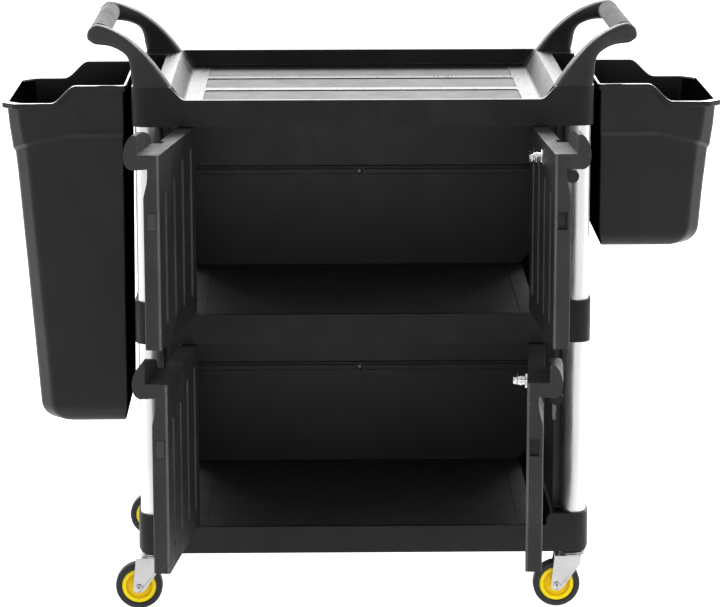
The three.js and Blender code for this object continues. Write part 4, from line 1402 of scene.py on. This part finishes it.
base = span("lowest_shelf")[0].z
for corner, (x, y) in CORNERS.items():
    matrix = TO_ROW @ Matrix.Translation((x, y, 0))
    piece(f"castor_mount_{corner}", castor_mount(base, base + 12), ("zinc",), matrix)
    piece(f"castor_fork_{corner}", castor_fork(), ("zinc",), matrix)
    piece(f"castor_axle_{corner}", castor_axle(), ("zinc", "steel"), matrix, paint_axle)
    piece(f"wheel_hub_{corner}", wheel_hub(), ("hub", "hub_dish"), matrix, paint_hub)
    piece(f"wheel_tyre_{corner}", wheel_tyre(), ("tyre",), matrix)

# ---- studio

FLOOR_HALF = 40

# The floor glows from here backwards, so that it fades to plain white behind the cart.
GLOW_START, GLOW_FULL = -0.75, -0.2

floor_mesh = bpy.data.meshes.new("studio_floor")
floor_mesh.from_pydata([
    (x * FLOOR_HALF, y * FLOOR_HALF, 0) for x, y in ((-1, -1), (1, -1), (1, 1), (-1, 1))
], [], [(0, 1, 2, 3)])
floor = bpy.data.objects.new("studio_floor", floor_mesh)
bpy.context.scene.collection.objects.link(floor)
paper = bpy.data.materials.new("studio_paper")
paper.use_nodes = True
tree = paper.node_tree
paper_shader = tree.nodes["Principled BSDF"]
paper_coords = add_node(tree, "ShaderNodeTexCoord").outputs["Object"]
paper_tone = ranged(tree, noise(tree, paper_coords, 0.4), 0.86, 0.9)
tree.links.new(paper_tone, paper_shader.inputs["Base Color"])
paper_shader.inputs["Roughness"].default_value = 0.8
paper_shader.inputs["Emission Color"].default_value = (1, 1, 1, 1)
paper_depth = add_node(tree, "ShaderNodeSeparateXYZ", {"Vector": paper_coords})
paper_glow = ranged(tree, paper_depth.outputs["Y"], 0.0, 0.95, GLOW_START, GLOW_FULL)
tree.links.new(paper_glow, paper_shader.inputs["Emission Strength"])
floor_mesh.materials.append(paper)

# The sky is dark in front, brighter above and at the sides, and brightest behind.
world = bpy.data.worlds.new("studio_world")
bpy.context.scene.world = world
world.use_nodes = True
sky = world.node_tree
direction = add_node(sky, "ShaderNodeTexCoord").outputs["Generated"]
axes = add_node(sky, "ShaderNodeSeparateXYZ", {"Vector": direction})
sky.nodes["Background"].inputs["Color"].default_value = (1, 1, 1, 1)
backdrop = ranged(sky, axes.outputs["Z"], 2.6, 0.0, 0.45, 0.85)
facing_back = ranged(sky, axes.outputs["Y"], 0.0, 1.0, 0.3, 0.85)
behind = add_node(sky, "ShaderNodeMath", {0: backdrop, 1: facing_back}, operation="MULTIPLY")
sideways = add_node(sky, "ShaderNodeMath", {0: axes.outputs["X"]}, operation="ABSOLUTE")
flanks = ranged(sky, sideways.outputs[0], 0.22, 0.9, 0.5, 0.95)
above = ranged(sky, axes.outputs["Z"], 0.0, 0.5, 0.25, 1.0)
glow = add_node(sky, "ShaderNodeMath", {0: behind.outputs[0], 1: above}, operation="ADD")
glow = add_node(sky, "ShaderNodeMath", {0: glow.outputs[0], 1: flanks}, operation="ADD")
sky.links.new(glow.outputs[0], sky.nodes["Background"].inputs["Strength"])


def softbox(name, place, target, width, height, power):
    data = bpy.data.lights.new(name, "AREA")
    data.shape = "RECTANGLE"
    data.size, data.size_y = width, height
    data.energy = power
    lamp = bpy.data.objects.new(name, data)
    lamp.location = place
    aim = Vector(target) - Vector(place)
    lamp.rotation_mode = "QUATERNION"
    lamp.rotation_quaternion = aim.to_track_quat("-Z", "Y")
    bpy.context.scene.collection.objects.link(lamp)


CART_MIDDLE = (0, 0, 0.6)
softbox("key_left", (-2.6, -2.4, 2.4), CART_MIDDLE, 1.6, 2.2, 24)
softbox("fill_right", (2.8, -1.8, 2.0), CART_MIDDLE, 1.6, 2.2, 19)
softbox("front_low", (0.2, -3.6, 0.9), CART_MIDDLE, 3.0, 0.9, 10)
softbox("backlight", (0, 3.2, 2.7), (0, 0.1, 0.8), 3.6, 1.2, 110)

CAMERA_PLACE = (-0.0753, CART_Y - 4.8904, 1.5188)
CAMERA_LENS = 152.63
YAW, PITCH, ROLL = 0.0150, 0.2148, -0.0016

camera_data = bpy.data.cameras.new("camera")
camera_data.lens = CAMERA_LENS
camera_data.sensor_width = 36
camera_data.clip_end = 200
camera = bpy.data.objects.new("camera", camera_data)
bpy.context.scene.collection.objects.link(camera)
forward = Vector((
    math.sin(YAW) * math.cos(PITCH), math.cos(YAW) * math.cos(PITCH), -math.sin(PITCH)
))
level = Vector((math.cos(YAW), -math.sin(YAW), 0))
upright = level.cross(forward)
across = level * math.cos(ROLL) + upright * math.sin(ROLL)
upward = upright * math.cos(ROLL) - level * math.sin(ROLL)
turned = Matrix((across, upward, -forward)).transposed().to_4x4()
camera.matrix_world = Matrix.Translation(CAMERA_PLACE) @ turned
bpy.context.scene.camera = camera
bpy.context.scene.view_settings.view_transform = "Standard"
